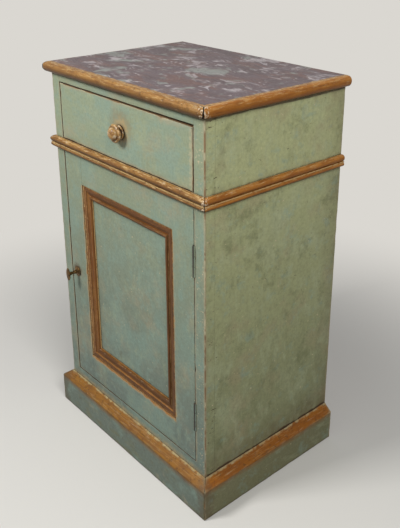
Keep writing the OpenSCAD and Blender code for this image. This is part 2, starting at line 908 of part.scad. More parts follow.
module latch_rose() {
    boss_r = spindle_r + rose_boss_w;
    color(BRASS)
    difference() {
        turned_out([latch_x, front_y, latch_z]) polygon(concat(
            [[0, 0], [rose_r, 0]],
            arc([rose_r - rose_round, rose_t - rose_round], rose_round, 0, 90, 3),
            [[boss_r + rose_round, rose_t]],
            arc([boss_r - rose_round, rose_boss_up - rose_round], rose_round, 0, 90, 3),
            [[0, rose_boss_up]]));
        bar_y(latch_x, latch_z, front_y - rose_boss_up - eps, front_y + eps, spindle_r + turn_gap);
    }
}

// Spindle with its oval thumb plate
module latch_handle() {
    plate_y = front_y - latch_reach;
    color(BRASS) union() {
        bar_y(latch_x, latch_z, plate_y + oval_t / 2, tongue_y + tongue_t + nut_t, spindle_r);
        turned_out([latch_x, plate_y + oval_t + cone_l, latch_z])
            polygon([[0, 0], [spindle_r, 0], [cone_r, cone_l], [cone_r, cone_l + oval_t / 2], [0, cone_l + oval_t / 2]]);
        translate([latch_x, 0, latch_z]) {
            along_y(plate_y + oval_step, plate_y + oval_t - oval_step) polygon(ellipse(oval_w / 2, oval_h / 2, 40));
            along_y(plate_y, plate_y + oval_t) polygon(ellipse(oval_w / 2 - oval_step, oval_h / 2 - oval_step, 40));
        }
    }
}

// The tongue hangs from a round end about the spindle, and the two corners of its tip are round
module latch_tongue() {
    tip_r = tongue_w / 4;
    tip_z = latch_z - tongue_l;
    color(BRASS)
    difference() {
        union() {
            bar_y(latch_x, latch_z, tongue_y, tongue_y + tongue_t, tongue_hub_r);
            block([latch_x - tongue_w / 2, tongue_y, tip_z + tip_r],
                  [latch_x + tongue_w / 2, tongue_y + tongue_t, latch_z]);
            block([latch_x - tip_r, tongue_y, tip_z], [latch_x + tip_r, tongue_y + tongue_t, latch_z]);
            for (side = [-1, 1])
                bar_y(latch_x + side * tip_r, tip_z + tip_r, tongue_y, tongue_y + tongue_t, tip_r);
        }
        bar_y(latch_x, latch_z, tongue_y - eps, tongue_y + tongue_t + eps, spindle_r);
    }
}

module latch_nut() {
    nut_y = tongue_y + tongue_t;
    color(BRASS)
    difference() {
        block([latch_x - nut_w / 2, nut_y, latch_z - nut_w / 2], [latch_x + nut_w / 2, nut_y + nut_t, latch_z + nut_w / 2]);
        bar_y(latch_x, latch_z, nut_y - eps, nut_y + nut_t + eps, spindle_r);
    }
}

top_board();
top_moulding_front();
top_moulding_left();
top_moulding_right();
side_left();
side_right();
front_stile_left();
front_stile_right();
top_rail();
middle_rail();
bottom_rail();
floor_board();
dust_board();
back_plank(2);  // back_plank_left
back_plank(1);  // back_plank_middle
back_plank(0);  // back_plank_right
back_nails();
mid_moulding_front();
mid_moulding_left();
mid_moulding_right();
plinth_front();
plinth_left();
plinth_right();
glue_blocks();
mirrored() drawer_runner();  // drawer_runner_left
drawer_runner();  // drawer_runner_right
mirrored() drawer_guide();  // drawer_guide_left
drawer_guide();  // drawer_guide_right
mirrored() drawer_kicker();  // drawer_kicker_left
drawer_kicker();  // drawer_kicker_right
drawer_stops();
door_stop_strip();
drawer_front();
drawer_side_left();
drawer_side_right();
drawer_back();
drawer_bottom();
drawer_knob();
door_stile_latch();
door_stile_hinge();
door_rail_top();
door_rail_bottom();
door_panel();
panel_trim_left();
panel_trim_right();
panel_trim_top();
panel_trim_bottom();
hinge_leaf_frame();
hinge_leaf_door();
hinge_pins();
hinge_screws_frame();
hinge_screws_door();
latch_rose();
latch_handle();
latch_tongue();
latch_nut();
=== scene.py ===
"""Bedside pot cupboard in painted softwood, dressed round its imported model.

Lengths are metres in the model's own frame: +Z up, the front towards -Y, the origin on the ground.
"""
import copy
import functools
import json
import math

import bmesh
import bpy
from mathutils import Matrix, Vector, noise
from mathutils.bvhtree import BVHTree

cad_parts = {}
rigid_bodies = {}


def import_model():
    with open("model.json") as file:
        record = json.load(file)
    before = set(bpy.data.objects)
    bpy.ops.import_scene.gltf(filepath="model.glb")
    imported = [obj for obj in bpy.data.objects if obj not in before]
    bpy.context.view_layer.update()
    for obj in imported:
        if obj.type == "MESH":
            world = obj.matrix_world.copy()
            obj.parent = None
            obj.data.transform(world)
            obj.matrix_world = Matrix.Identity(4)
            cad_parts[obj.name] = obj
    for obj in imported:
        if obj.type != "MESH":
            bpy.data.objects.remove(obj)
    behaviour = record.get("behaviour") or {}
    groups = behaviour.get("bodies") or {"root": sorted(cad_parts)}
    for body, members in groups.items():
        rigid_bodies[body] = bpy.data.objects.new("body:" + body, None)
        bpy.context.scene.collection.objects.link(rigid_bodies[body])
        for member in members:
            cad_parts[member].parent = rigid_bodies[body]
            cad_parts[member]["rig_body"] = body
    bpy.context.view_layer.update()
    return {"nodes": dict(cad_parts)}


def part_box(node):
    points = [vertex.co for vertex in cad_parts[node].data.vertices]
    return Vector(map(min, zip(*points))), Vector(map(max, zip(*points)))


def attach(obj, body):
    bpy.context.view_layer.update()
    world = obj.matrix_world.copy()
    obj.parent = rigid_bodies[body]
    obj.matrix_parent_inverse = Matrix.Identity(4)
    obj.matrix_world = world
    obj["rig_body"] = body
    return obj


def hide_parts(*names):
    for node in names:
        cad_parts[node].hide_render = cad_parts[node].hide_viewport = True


bl_info = {
    "name": "Bedside pot cupboard",
    "version": (1, 0, 0),
    "blender": (4, 5, 0),
    "location": "3D View > Sidebar > Cupboard",
    "description": "Dresses a packed bedside pot cupboard in worn paint, gold mouldings and a marbled top",
    "category": "Object",
}

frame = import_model()


def middle_of(node):
    """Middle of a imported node's box."""
    low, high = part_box(node)
    return (low + high) / 2


# Main planes of the cupboard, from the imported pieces
HALF_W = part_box("front_stile_right")[1].x
FRONT_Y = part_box("front_stile_right")[0].y
BACK_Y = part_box("side_right")[1].y
TOP_LOW, TOP_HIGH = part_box("top_board")
TOP_HALF_W = TOP_HIGH.x
WAIST_LOW, WAIST_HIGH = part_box("mid_moulding_front")
PLINTH_LOW, PLINTH_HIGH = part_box("plinth_front")
PANEL_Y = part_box("door_panel")[0].y
SIGHT_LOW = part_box("panel_trim_left")[0]
SIGHT_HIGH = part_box("panel_trim_right")[1]
DRAWER_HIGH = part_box("drawer_front")[1]
KNOB_FOOT = Vector((middle_of("drawer_knob").x, FRONT_Y, middle_of("drawer_knob").z))
LATCH_FOOT = Vector((middle_of("latch_rose").x, FRONT_Y, middle_of("latch_rose").z))
HINGE_X = middle_of("hinge_pins").x

MM = 0.001
MERGE = 0.00001
FLAT = math.radians(1)
SHARP = math.radians(40)
SMOOTH = math.radians(38)
SHORT_EDGE = 6 * MM
LONG_EDGE = 60 * MM
SLIVER = 1.5 * MM
CUT_GAP = 1.2 * MM
CUT_INSET = 3 * MM
END_REACH = 5 * MM

# How close the lumps of a shape lie, in waves per metre; a dent's are along, across and up
PLANE_WAVES = 9
RUB_WAVES = 14
KNOCK_WAVES = 45
SPLINTER_WAVES = 130
CRUMB_WAVES = 140
MITRE_WAVES = 180
TOOL_WAVES = 110
DENT_WAVES = Vector((26, 70, 7))

# The one random draw, which gives knob and latch the same lumps on each run
TOOL_SEED = 1795531683

# Which way the outer faces of each side look
OUTWARD = {"right": "+x", "left": "-x"}

NOISE = "ShaderNodeTexNoise"
RANGE = "ShaderNodeMapRange"
MIX = "ShaderNodeMix"
MATH = "ShaderNodeMath"
MAPPING = "ShaderNodeMapping"

# Camera where the photograph was taken from; its angles are turn, tilt and roll in degrees
CAMERA_AT = (1.048, -0.864, 1.0623)
CAMERA_ANGLES = (48.51, 20.68, 0.09)
CAMERA_LENS = 50.51
CAMERA_SHIFT = (-0.0240, -0.1497)

# Studio: each lamp's name, place, aim, size and power; the air's light; the floor's size, and how far
# from the cupboard it starts and ends to turn into an even backdrop
LAMPS = (
    ("window_light", (-0.3, -1.35, 1.7), (0.0, -0.1, 0.6), 0.45, 24.0),
    ("side_light", (1.6, -0.6, 1.8), (0.2, -0.05, 0.62), 0.9, 25.0))
AIR_LIGHT = (0.24, 0.25, 0.26, 1.0)
FLOOR_RADIUS = 14.0
FLOOR_FADE = (0.4, 1.2)


# ---- Colours and sizes ----

def linear(code):
    """Linear colour of an sRGB hex code."""
    parts = [int(code[i:i + 2], 16) / 255 for i in (1, 3, 5)]
    return [p / 12.92 if p <= 0.04045 else ((p + 0.055) / 1.055) ** 2.4 for p in parts] + [1.0]


def colour(name, code, description):
    """A colour that can be changed in the sidebar."""
    return bpy.props.FloatVectorProperty(
        name=name, description=description, subtype="COLOR", size=4, min=0.0, max=1.0, default=linear(code))


def length(name, millimetres, description):
    """A length that can be changed in the sidebar."""
    return bpy.props.FloatProperty(
        name=name, description=description, unit="LENGTH", min=0.0, default=millimetres * MM)


class CupboardColours(bpy.types.PropertyGroup):
    """Colours of the finishes."""
    sage: colour("Sage", "#949D81", "Front paint above the waist")
    # The low tone darkens the front paint towards the floor, partly as dirt and partly as painted shade; the
    # plinth tone carries on from it
    sage_low: colour("Sage, low", "#737F76", "Front paint towards the floor")
    sage_foot: colour("Sage, plinth", "#727D71", "Front paint of the plinth, dulled by feet and mops")
    sage_cool: colour("Sage, cool", "#889E90", "Bluer patches where the top coat is thin")
    sage_tan: colour("Sage, rubbed", "#A69C80", "Tan patches where the paint is rubbed")
    olive: colour("Olive", "#ACAF82", "Side paint near the top")
    # The low tone darkens the side paint towards the floor, partly as dirt and partly as painted shade; the
    # plinth tone carries on from it
    olive_low: colour("Olive, low", "#868966", "Side paint towards the floor")
    olive_foot: colour("Olive, plinth", "#777556", "Side paint of the plinth, browned by dirt")
    olive_dark: colour("Olive, dark", "#6F7350", "Dark mottling of the sides")
    olive_tan: colour("Olive, tan", "#9C9070", "Tan patches where the sides are rubbed")
    olive_pale: colour("Olive, pale", "#A8AE8C", "Pale clouds of the sides")
    # Grime, umber and soot darken corners, gaps and hollows, partly as dirt and partly as painted shade
    grime: colour("Grime", "#5A4630", "Dirt and old wax in corners and along mouldings")
    undercoat: colour("Undercoat", "#C9BA97", "Cream ground at rubbed edges")
    # This crest line is partly wear and partly painted highlight
    cream: colour("Cream", "#C3BA8C", "Yellowed line along the crest of the plinth")
    scuffed: colour("Scuffed wood", "#75502E", "Brown wood where an edge is worn through")
    ochre: colour("Gold", "#966C36", "Ochre-gold paint of the mouldings")
    ochre_foot: colour("Gold, plinth", "#8A5C1B", "Deeper gold of the plinth's bevel")
    amber_foot: colour("Side gold, plinth", "#8B530D", "Redder gold of the bevel at the sides")
    ochre_deep: colour("Gold, deep", "#6F471F", "Orange-brown ground under the gold")
    # Also lifted on the upper faces of the mouldings as painted highlight, and laid in the worn panel
    # moulding's cove as painted light
    ochre_pale: colour("Gold, pale", "#C8A873", "Pale streaks where the gold is rubbed")
    # Laid on the undersides of the front mouldings as painted shade with dirt, and also used as a dark ground
    ochre_under: colour("Gold, underside", "#4C3114", "Dirty gold under the front mouldings")
    amber: colour("Side gold", "#A66D2C", "Redder gold of the mouldings at the sides")
    amber_deep: colour("Side gold, deep", "#7C450E", "Red-brown ground under the gold at the sides")
    russet: colour("Thin gold", "#A2753C", "Left panel moulding, gold over red-brown")
    russet_deep: colour("Thin gold, deep", "#6D4021", "Red-brown ground of the panel moulding")
    russet_worn: colour("Worn gold", "#664A2B", "Panel moulding where little gold is left")
    # Mostly painted shade: in gaps, open mitres, tight corners and down the hinge knuckles, with some real
    # black dust
    soot: colour("Soot", "#1E1610", "Black dust in the gaps round drawer and door")
    # Also used for dark lines of painted shade under the top and the waist on the sides, besides real dirt in
    # hollows
    umber: colour("Umber", "#3A2415", "Dark dirt in the hollows of mouldings")
    knob: colour("Knob", "#A8834F", "Rubbed gilt of the knob")
    gesso: colour("Gesso", "#CFBA9C", "Cream ground where a moulding is chipped")
    plum: colour("Marble", "#625559", "Plum-brown ground of the marbled top")
    plum_dark: colour("Marble, dark", "#544648", "Dark clouds of the marbled top")
    plum_red: colour("Marble, warm", "#6B504B", "Warm brown clouds of the marbled top")
    marble_green: colour("Marble, green", "#8C908A", "Grey-green pools of the marbled top")
    marble_pale: colour("Marble, pale", "#AFA6A7", "Pale veins of the marbled top")
    pine: colour("Pine", "#B08C5E", "Aged bare pine")
    pine_dark: colour("Pine, dark", "#7D5A36", "Dark grain of the aged pine")
    brass: colour("Brass", "#806138", "Old brass where fingers keep it clean")
    tarnish: colour("Tarnish", "#33271A", "Brown-black tarnish on the brass")
    iron: colour("Iron", "#3B3530", "Dark iron of hinges and nails")
    rust: colour("Rust", "#5E3A22", "Thin rust on the iron")
    floor: colour("Floor", "#DAD7D1", "Plain studio floor")
    floor_glow: colour("Floor's glow", "#6E6A65", "Tone that the floor throws back on the cupboard")


class CupboardSizes(bpy.types.PropertyGroup):
    """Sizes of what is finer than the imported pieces."""
    edge_round: length("Board edges", 0.7, "Rounding of the edges of painted boards")
    inner_round: length("Inner edges", 0.6, "Rounding of the edges of bare boards")
    hollow: length("Hollows", 0.3, "Depth of the hollows that a hand plane left")
    chip: length("Chips", 1.6, "Depth of the chips along worn edges")
    dent: length("Dents", 0.7, "Depth of the dents in the mouldings")
    crumble: length("Broken mitres", 2.2, "How much has crumbled off the ends of mitred mouldings")
    mitre_gap: length("Open mitre", 3, "How far the front mitre of the top has opened at its underside")
    gold_lap: length("Gold on the top", 7, "How far the gold paint laps over the flat of the top")
    low_bead: length("Lower bead", 8.2, "Height of the lower bead of the waist moulding")
    low_back: length("Lower bead set back", 0.5, "How far the lower bead lies behind the upper one")
    quirk: length("Quirk", 1.5, "Height of the groove between the beads")
    quirk_root: length("Quirk root", 8.5, "Thickness left behind that groove")
    trim_band: length("Panel moulding band", 9.5, "Width of the flat band of the panel moulding")
    trim_bead: length("Panel moulding bead", 2.8, "Radius of the bead of the panel moulding")
    trim_edge: length("Panel moulding edge", 2.4, "Thickness of its thin inner edge")
    trim_edge_w: length("Panel moulding edge width", 1.5, "Width of the thin edge beside the bead")
    knob_head: length("Knob head", 17, "Radius of the knob's head")
    knob_rim: length("Knob rim", 3.2, "Radius of the rounded rim of the knob")
    knob_collar: length("Knob collar", 12.5, "Radius of the collar at the knob's foot")
    knob_neck: length("Knob neck", 8, "Radius of the knob's neck")
    spigot: length("Knob spigot", 5, "Radius of the spigot that holds the knob")
    spindle: length("Latch spindle", 3, "Radius of the latch's spindle")
    plate: length("Thumb plate", 3.6, "Thickness of the latch's thumb plate")


# ---- Node tools ----

def scale_for(size):
    """Texture scale that gives features of that size in millimetres."""
    return 1 / (size * MM)


def tone(source):
    """A colour by its name in the sidebar; colour values, sockets and nodes stay what they are."""
    return getattr(bpy.context.scene.cupboard_colours, source) if isinstance(source, str) else source


def socket(node, name):
    """An input of a node by its number, identifier or name."""
    if isinstance(name, int):
        return node.inputs[name]
    return next((each for each in node.inputs if each.identifier == name), None) or node.inputs[name]


def add(tree, kind, values=None, links=None):
    """Adds a node, sets its values and links its inputs to sockets or to other nodes' main outputs."""
    node = tree.nodes.new(kind)
    for name, value in (values or {}).items():
        if isinstance(name, str) and hasattr(node, name):
            setattr(node, name, value)
        else:
            socket(node, name).default_value = value
    for name, source in (links or {}).items():
        if isinstance(source, bpy.types.Node):
            source = next(out for out in source.outputs if out.enabled)
        tree.links.new(source, socket(node, name))
    return node


def laid_over(tree, base, tint, mask):
    """Lays one colour over another where a mask says; each is a colour's name, its values or a node."""
    values = {"data_type": "RGBA"}
    links = {"Factor_Float": mask}
    for name, source in (("A_Color", tone(base)), ("B_Color", tone(tint))):
        linked = isinstance(source, (bpy.types.Node, bpy.types.NodeSocket))
        (links if linked else values)[name] = source
    return add(tree, MIX, values, links)


class Coat:
    """A finish under way: its material and nodes, the place on the object, and its colour so far."""

    def __init__(self, name, base=None):
        self.material = bpy.data.materials.new(name)
        self.material.use_nodes = True
        self.tree = self.material.node_tree
        self.shader = self.tree.nodes["Principled BSDF"]
        self.add = functools.partial(add, self.tree)
        self.place = self.add("ShaderNodeTexCoord").outputs["Object"]
        self.colour = base

    @functools.cached_property
    def axes(self):
        """The X, Y and Z of the place on the object."""
        return self.add("ShaderNodeSeparateXYZ", links={"Vector": self.place}).outputs

    def beside(self, base):
        """Another colour in the same finish, built up on its own."""
        other = copy.copy(self)
        other.colour = base
        return other

    def lay(self, tint, mask):
        """Lays a colour over the finish where a mask says."""
        self.colour = laid_over(self.tree, self.colour, tint, mask)

    def mottle(self, layers, place=None, lift=None):
        """Lays patches; a layer is (colour, size in mm, raggedness, from, to, strength)."""
        for index, (tint, size, ragged, start, full, strength) in enumerate(layers):
            patch = self.add(NOISE, {
                "noise_dimensions": "4D", "Scale": scale_for(size), "W": 3.7 * index + size,
                "Detail": 4.0, "Roughness": ragged}, {"Vector": place or self.place})
            if lift:
                patch = self.add(MATH, {"operation": "ADD"}, {0: patch, 1: lift})
            self.lay(tint, self.add(RANGE, {
                "interpolation_type": "SMOOTHSTEP", "From Min": start, "From Max": full,
                "To Max": strength}, {"Value": patch}))

    def along_grain(self, stretch):
        """The piece's own coordinates, long way first, drawn out along the grain."""
        grain = self.add("ShaderNodeAttribute", {"attribute_name": "grain"}).outputs["Vector"]
        return self.add(MAPPING, {"Scale": (1 / stretch, 1.0, 1.0)}, {"Vector": grain})

    def ragged(self, marked, size, start, full, strength=1.0):
        """Mask with a ragged edge from a value or a named mark, such as a distance or an arris."""
        if isinstance(marked, str):
            marked = self.add("ShaderNodeAttribute", {"attribute_name": marked}).outputs["Fac"]
        rag = self.add(NOISE, {"Scale": scale_for(size), "Detail": 4.0, "Roughness": 0.6},
                       {"Vector": self.place})
        both = self.add(MATH, {"operation": "MULTIPLY"}, {0: marked, 1: rag})
        return self.add(RANGE, {"interpolation_type": "SMOOTHSTEP", "From Min": start, "From Max": full,
                                "To Max": strength}, {"Value": both})

    def wear(self, tint, marked, size, start, full, strength=1.0):
        """Lays a colour through a ragged mask."""
        self.lay(tint, self.ragged(marked, size, start, full, strength))

    def dirt_and_shade(self, tint, reach, strength, full=0.5):
        """Darkens where surfaces meet, within a reach in millimetres, partly as dirt and partly as painted
        shade; a low full makes it crisp.
        """
        room = self.add("ShaderNodeAmbientOcclusion", {"samples": 4, "Distance": reach * MM}).outputs["AO"]
        closed = self.add(RANGE, {"From Min": 0.9, "From Max": 0.3}, {"Value": room})
        self.wear(tint, closed, 18, 0.1 * full, full, strength)

    def handled(self, tint, centre, aside, above, inner, outer, strength):
        """Dirt or paint that hands or brushes left beside a point, fading between two radii in mm."""
        spot = centre + Vector((aside * MM, 0.0, above * MM))
        away = self.add("ShaderNodeVectorMath", {"operation": "DISTANCE", 1: spot}, {0: self.place})
        close = self.add(RANGE, {"From Min": outer * MM, "From Max": inner * MM},
                         {"Value": away.outputs["Value"]})
        self.wear(tint, close, 7, 0.15, 0.55, strength)

    def off(self, value, level):
        """How far a value is from a level."""
        beyond = self.add(MATH, {"operation": "SUBTRACT", 1: level}, {0: value})
        return self.add(MATH, {"operation": "ABSOLUTE"}, {0: beyond})

    def near(self, value, level, reach):
        """1 where a value is at a level, falling to 0 at a reach in millimetres from it."""
        return self.add(RANGE, {"From Min": reach * MM, "From Max": 0.0}, {"Value": self.off(value, level)})

    def wandering(self, value, size, amount, ragged=0.7):
        """A distance that wanders by an amount in millimetres, as a freehand line does."""
        wander = self.add(NOISE, {"Scale": scale_for(size), "Detail": 6.0, "Roughness": ragged},
                          {"Vector": self.place})
        return self.add(MATH, {"operation": "MULTIPLY_ADD", 1: amount * MM}, {0: wander, 2: value})

    def finish(self, pattern, sheen, strength, depth, fixed=None, chips=None):
        """Ends a finish: a fine pattern gives its roughness, between two values, and its relief in mm."""
        relief = self.add("ShaderNodeBump", {"Strength": strength, "Distance": depth * MM},
                          {"Height": pattern})
        if chips:
            relief = self.add("ShaderNodeBump", {"Strength": 0.6, "Distance": 0.3 * MM, "invert": True},
                              {"Height": chips, "Normal": relief})
        outputs = {"Base Color": self.colour.outputs[2], "Normal": relief.outputs[0]}
        if sheen:
            outputs["Roughness"] = self.add(RANGE, {
                "From Min": 0.3, "From Max": 0.7, "To Min": sheen[0], "To Max": sheen[1]},
                {"Value": pattern}).outputs[0]
        for name, source in outputs.items():
            self.tree.links.new(source, self.shader.inputs[name])
        for name, value in (fixed or {}).items():
            self.shader.inputs[name].default_value = value
        return self.material


# ---- Finishes ----

# Each gold is its own tone, its ground, its pale streaks and its underside tone; the underside tone is dirt
# and painted shade, darker at the front than at the sides
FRONT_GOLD = ("ochre", "ochre_deep", "ochre_pale", "ochre_under")
FOOT_GOLD = ("ochre_foot", "ochre_deep", "ochre_pale", "ochre_under")
SIDE_FOOT_GOLD = ("amber_foot", "amber_deep", "ochre_pale", "ochre_under")
SIDE_GOLD = ("amber", "amber_deep", "ochre_pale", "amber_foot")


def dirt_and_shade_towards_floor(coat, tones):
    """Starts a paint with its tone above 0.68 m, turning into another one below 0.1 m: darker towards the
    floor, partly dirt and partly painted shade.
    """
    coat.colour = tones[1]
    coat.lay(tones[0], coat.add(RANGE, {"From Min": 0.1, "From Max": 0.68}, {"Value": coat.axes["Z"]}))


def brushed_paint(name, tones, patches, drifts, brush, extras, grounds=("sage_tan", "undercoat", "scuffed")):
    """Paint on a softwood board: cloudy, brushed along its grain, darker in corners from dirt and painted
    shade, rubbed at its arrises.
    """
    coat = Coat(name)
    dirt_and_shade_towards_floor(coat, tones)
    coat.mottle(patches)
    coat.mottle(drifts, coat.along_grain(2.5))
    strokes = coat.add(NOISE, {"Scale": scale_for(2.6), "Detail": 3.0, "Roughness": 0.65},
                       {"Vector": coat.along_grain(20)})
    flecks = coat.add(NOISE, {"Scale": scale_for(5), "Detail": 5.0, "Roughness": 0.7}, {"Vector": coat.place})
    for pattern, amount in ((strokes, 0.35 * brush), (flecks, 1.5 * brush)):
        shade = coat.add(RANGE, {"From Min": 0.3, "From Max": 0.7, "To Min": 1 - amount,
                                 "To Max": 1 + amount}, {"Value": pattern})
        coat.colour = coat.add("ShaderNodeVectorMath", {"operation": "SCALE"},
                               {"Vector": coat.colour, "Scale": shade})
    extras(coat)
    # Darkening where surfaces meet, partly dirt and partly painted shade; the last is crisp and black in gaps
    # and tight corners
    coat.dirt_and_shade("grime", 11, 0.85)
    coat.dirt_and_shade("umber", 5, 0.5, 0.28)
    coat.wear(grounds[0], "near_arris", 22, 0.08, 0.34, 0.6)
    rubbed = coat.ragged("arris", 16, 0.22, 0.5, 0.6)
    coat.lay(grounds[1], rubbed)
    coat.wear(grounds[2], "arris", 30, 0.3, 0.44, 0.75)
    coat.dirt_and_shade("soot", 3, 0.85, 0.3)
    return coat.finish(strokes, (0.44, 0.6), 0.6, 0.25, {"Specular IOR Level": 0.25}, rubbed)


def gold_colour(coat, tones, flecks=1.0, rounded=True):
    """Gold paint: a brown ground that shows in streaks; on a round, its underside is darkened as painted
    shade with dirt, and pale streaks are lifted on its upper side as painted highlight with rubbing.
    """
    base, deep, pale, under = tones
    gold = coat.beside(base)
    crest = None
    if rounded:
        # Painted shade on faces turned downwards and painted highlight on faces turned upwards, each mixed
        # with dirt and wear
        facing_out = coat.add("ShaderNodeNewGeometry").outputs["Normal"]
        upward = coat.add("ShaderNodeSeparateXYZ", links={"Vector": facing_out}).outputs["Z"]
        gold.lay(under, coat.add(RANGE, {"From Min": 0.5, "From Max": -0.45, "To Max": 0.95},
                                 {"Value": upward}))
        crest = coat.add(RANGE, {"From Min": 0.0, "From Max": 0.75, "To Min": -0.06, "To Max": 0.03},
                         {"Value": upward})
    gold.mottle([(deep, 45, 0.55, 0.44, 0.62, 0.5), (under, 7, 0.7, 0.52, 0.64, 0.65)])
    gold.mottle([(deep, 4.6, 0.6, 0.46, 0.6, 0.6), ("umber", 3.6, 0.65, 0.58, 0.7, 0.5)],
                gold.along_grain(12))
    # Pale flecks, more of them on upper faces as painted highlight
    gold.mottle([(pale, 4, 0.7, 0.52, 0.64, 0.75 * flecks), ("gesso", 2.6, 0.65, 0.59, 0.68, 0.75 * flecks)],
                gold.along_grain(6 if rounded else 10), crest)
    return gold.colour


def scuffed_corners(coat):
    """Brown dirt where feet and brooms have worn the upright corners of the plinth."""
    from_middle = coat.add(MATH, {"operation": "ABSOLUTE"}, {0: coat.axes["X"]})
    away = coat.add(MATH, {"operation": "MAXIMUM"}, {
        0: coat.off(from_middle, PLINTH_HIGH.x), 1: coat.off(coat.axes["Y"], PLINTH_LOW.y)})
    for tint, reach, strength in (("grime", 45, 0.5), ("umber", 7, 0.7)):
        close = coat.add(RANGE, {"From Min": reach * MM, "From Max": 0.0}, {"Value": away})
        coat.wear(tint, close, 14, 0.14, 0.4, strength)


def gold_bevel(low, tones):
    """Gold paint on the plinth's bevel above a height in millimetres, its lower edge painted freehand."""
    def lay(coat):
        height = coat.axes["Z"]
        above = coat.wandering(height, 32, -9, 0.65)
        gold = gold_colour(coat, tones, 0.28, rounded=False)
        # The middle band, in the grime colour, is a line of painted shade just under the gold's edge
        for tint, start, full, strength in (
                (gold, low - 13, low, 0.6), ("grime", low - 3, low, 0.3), (gold, low - 1.5, low + 1.5, 1.0)):
            coat.lay(tint, coat.add(RANGE, {
                "interpolation_type": "SMOOTHSTEP", "From Min": start * MM, "From Max": full * MM,
                "To Max": strength}, {"Value": above}))
        # A pale line along the crest of the bevel, partly wear and partly painted highlight
        crest = coat.add(RANGE, {"From Min": PLINTH_HIGH.z - 7 * MM, "From Max": PLINTH_HIGH.z - 1.5 * MM},
                         {"Value": height})
        coat.wear("cream", crest, 12, 0.3, 0.6, 0.55)
        scuffed_corners(coat)
    return lay


def slopped_gold(coat):
    """Gold that the brush left on the green round the panel moulding, most of it below."""
    middle = (SIGHT_LOW + SIGHT_HIGH) / 2 - Vector((0.5 * MM, 0.0, 4 * MM))
    half = (SIGHT_HIGH - SIGHT_LOW) / 2
    beyond = {
        index: coat.add(MATH, {"operation": "SUBTRACT", 1: reach}, {0: coat.off(coat.axes[axis], level)})
        for index, axis, level, reach in ((0, "X", middle.x, half.x), (1, "Z", middle.z, half.z))}
    away = coat.add(MATH, {"operation": "MAXIMUM"}, beyond)
    outside = coat.add(MATH, {"operation": "GREATER_THAN", 1: -8 * MM}, {0: away})
    away = coat.wandering(away, 22, 22)
    for tint, start, full, strength in (
            ("sage_tan", 17, 11, 0.6), ("ochre_pale", 13.5, 11, 0.6), ("amber", 12, 9, 0.9)):
        close = coat.add(RANGE, {"From Min": start * MM, "From Max": full * MM, "To Max": strength},
                         {"Value": away})
        coat.lay(tint, coat.add(MATH, {"operation": "MULTIPLY"}, {0: close, 1: outside}))


def front_wear_and_gap_shade(coat):
    """Painted shadow in the drawer's gap, and what hands, drawer and brushes left on the front: a pale edge,
    flecks and smudges.
    """
    rightward = coat.axes["X"]
    height = coat.axes["Z"]
    across = coat.add(MATH, {"operation": "ABSOLUTE"}, {0: rightward})
    over = coat.add(MATH, {"operation": "SUBTRACT", 1: DRAWER_HIGH.z}, {0: height})
    beside = coat.add(MATH, {"operation": "SUBTRACT", 1: DRAWER_HIGH.x}, {0: across})
    from_gap = coat.add(MATH, {"operation": "MAXIMUM"}, {0: over, 1: beside})
    from_gap = coat.add(MATH, {"operation": "ABSOLUTE"}, {0: from_gap})
    from_gap = coat.add(MATH, {"operation": "MULTIPLY_ADD", 1: -5 * MM}, {0: rightward, 2: from_gap})
    inside = coat.add(MATH, {"operation": "MAXIMUM"}, {
        0: coat.off(rightward, DRAWER_HIGH.x - 5 * MM),
        1: coat.add(MATH, {"operation": "ADD", 1: 9 * MM}, {0: over})})
    upper = coat.add(MATH, {"operation": "GREATER_THAN", 1: WAIST_HIGH.z}, {0: height})
    # A black line round the drawer's gap, painted as its shadow and wider to the right, and a pale worn edge
    # beside it
    for tint, away, start, full, wear in (
            ("soot", from_gap, 4, 0, (60, 0.2, 0.4, 0.9)), ("undercoat", inside, 8, 3, (7, 0.3, 0.6, 0.5))):
        close = coat.add(RANGE, {"From Min": start * MM, "From Max": full * MM}, {"Value": away})
        coat.wear(tint, coat.add(MATH, {"operation": "MULTIPLY"}, {0: close, 1: upper}), *wear)
    outer = coat.add(RANGE, {"From Min": HALF_W - 70 * MM, "From Max": HALF_W - 25 * MM},
                     {"Value": rightward})
    chafed = coat.ragged(outer, 50, 0.3, 0.55, 0.09)
    coat.mottle([("undercoat", 5, 0.5, 0.68, 0.72, 0.85)], lift=chafed)
    # Pale streaks just above the plinth: wear, and painted highlight that carries on the plinth's crest line
    low = coat.add(RANGE, {"From Min": PLINTH_HIGH.z + 16 * MM, "From Max": PLINTH_HIGH.z}, {"Value": height})
    coat.wear("ochre_pale", low, 10, 0.12, 0.6, 0.5)
    coat.handled("grime", KNOB_FOOT, 0, 12, 12, 56, 0.33)
    coat.handled("olive_tan", KNOB_FOOT, 3, 4, 24, 50, 0.5)
    coat.handled("ochre_pale", KNOB_FOOT, 3, 4, 16, 32, 0.45)
    coat.handled("grime", LATCH_FOOT, 0, 3, 10, 24, 0.75)
    slopped_gold(coat)


@functools.cache
def sage_paint():
    """Sage green casein paint, brushed on pine and waxed: soft, cloudy, with cool, tan and smoky patches."""
    return brushed_paint("Sage casein paint on pine", ("sage", "sage_low"), [
        ("sage_cool", 110, 0.5, 0.46, 0.66, 0.6),
        ("sage_tan", 70, 0.6, 0.5, 0.7, 0.5),
        ("olive_pale", 34, 0.65, 0.5, 0.72, 0.35),
        ("grime", 34, 0.7, 0.6, 0.8, 0.45),
        ("sage_cool", 12, 0.6, 0.5, 0.66, 0.45),
        ("undercoat", 3.5, 0.5, 0.7, 0.76, 0.8)], [
        ("sage_cool", 20, 0.6, 0.5, 0.68, 0.45),
        ("olive_pale", 14, 0.6, 0.56, 0.7, 0.25)], 0.09, front_wear_and_gap_shade)


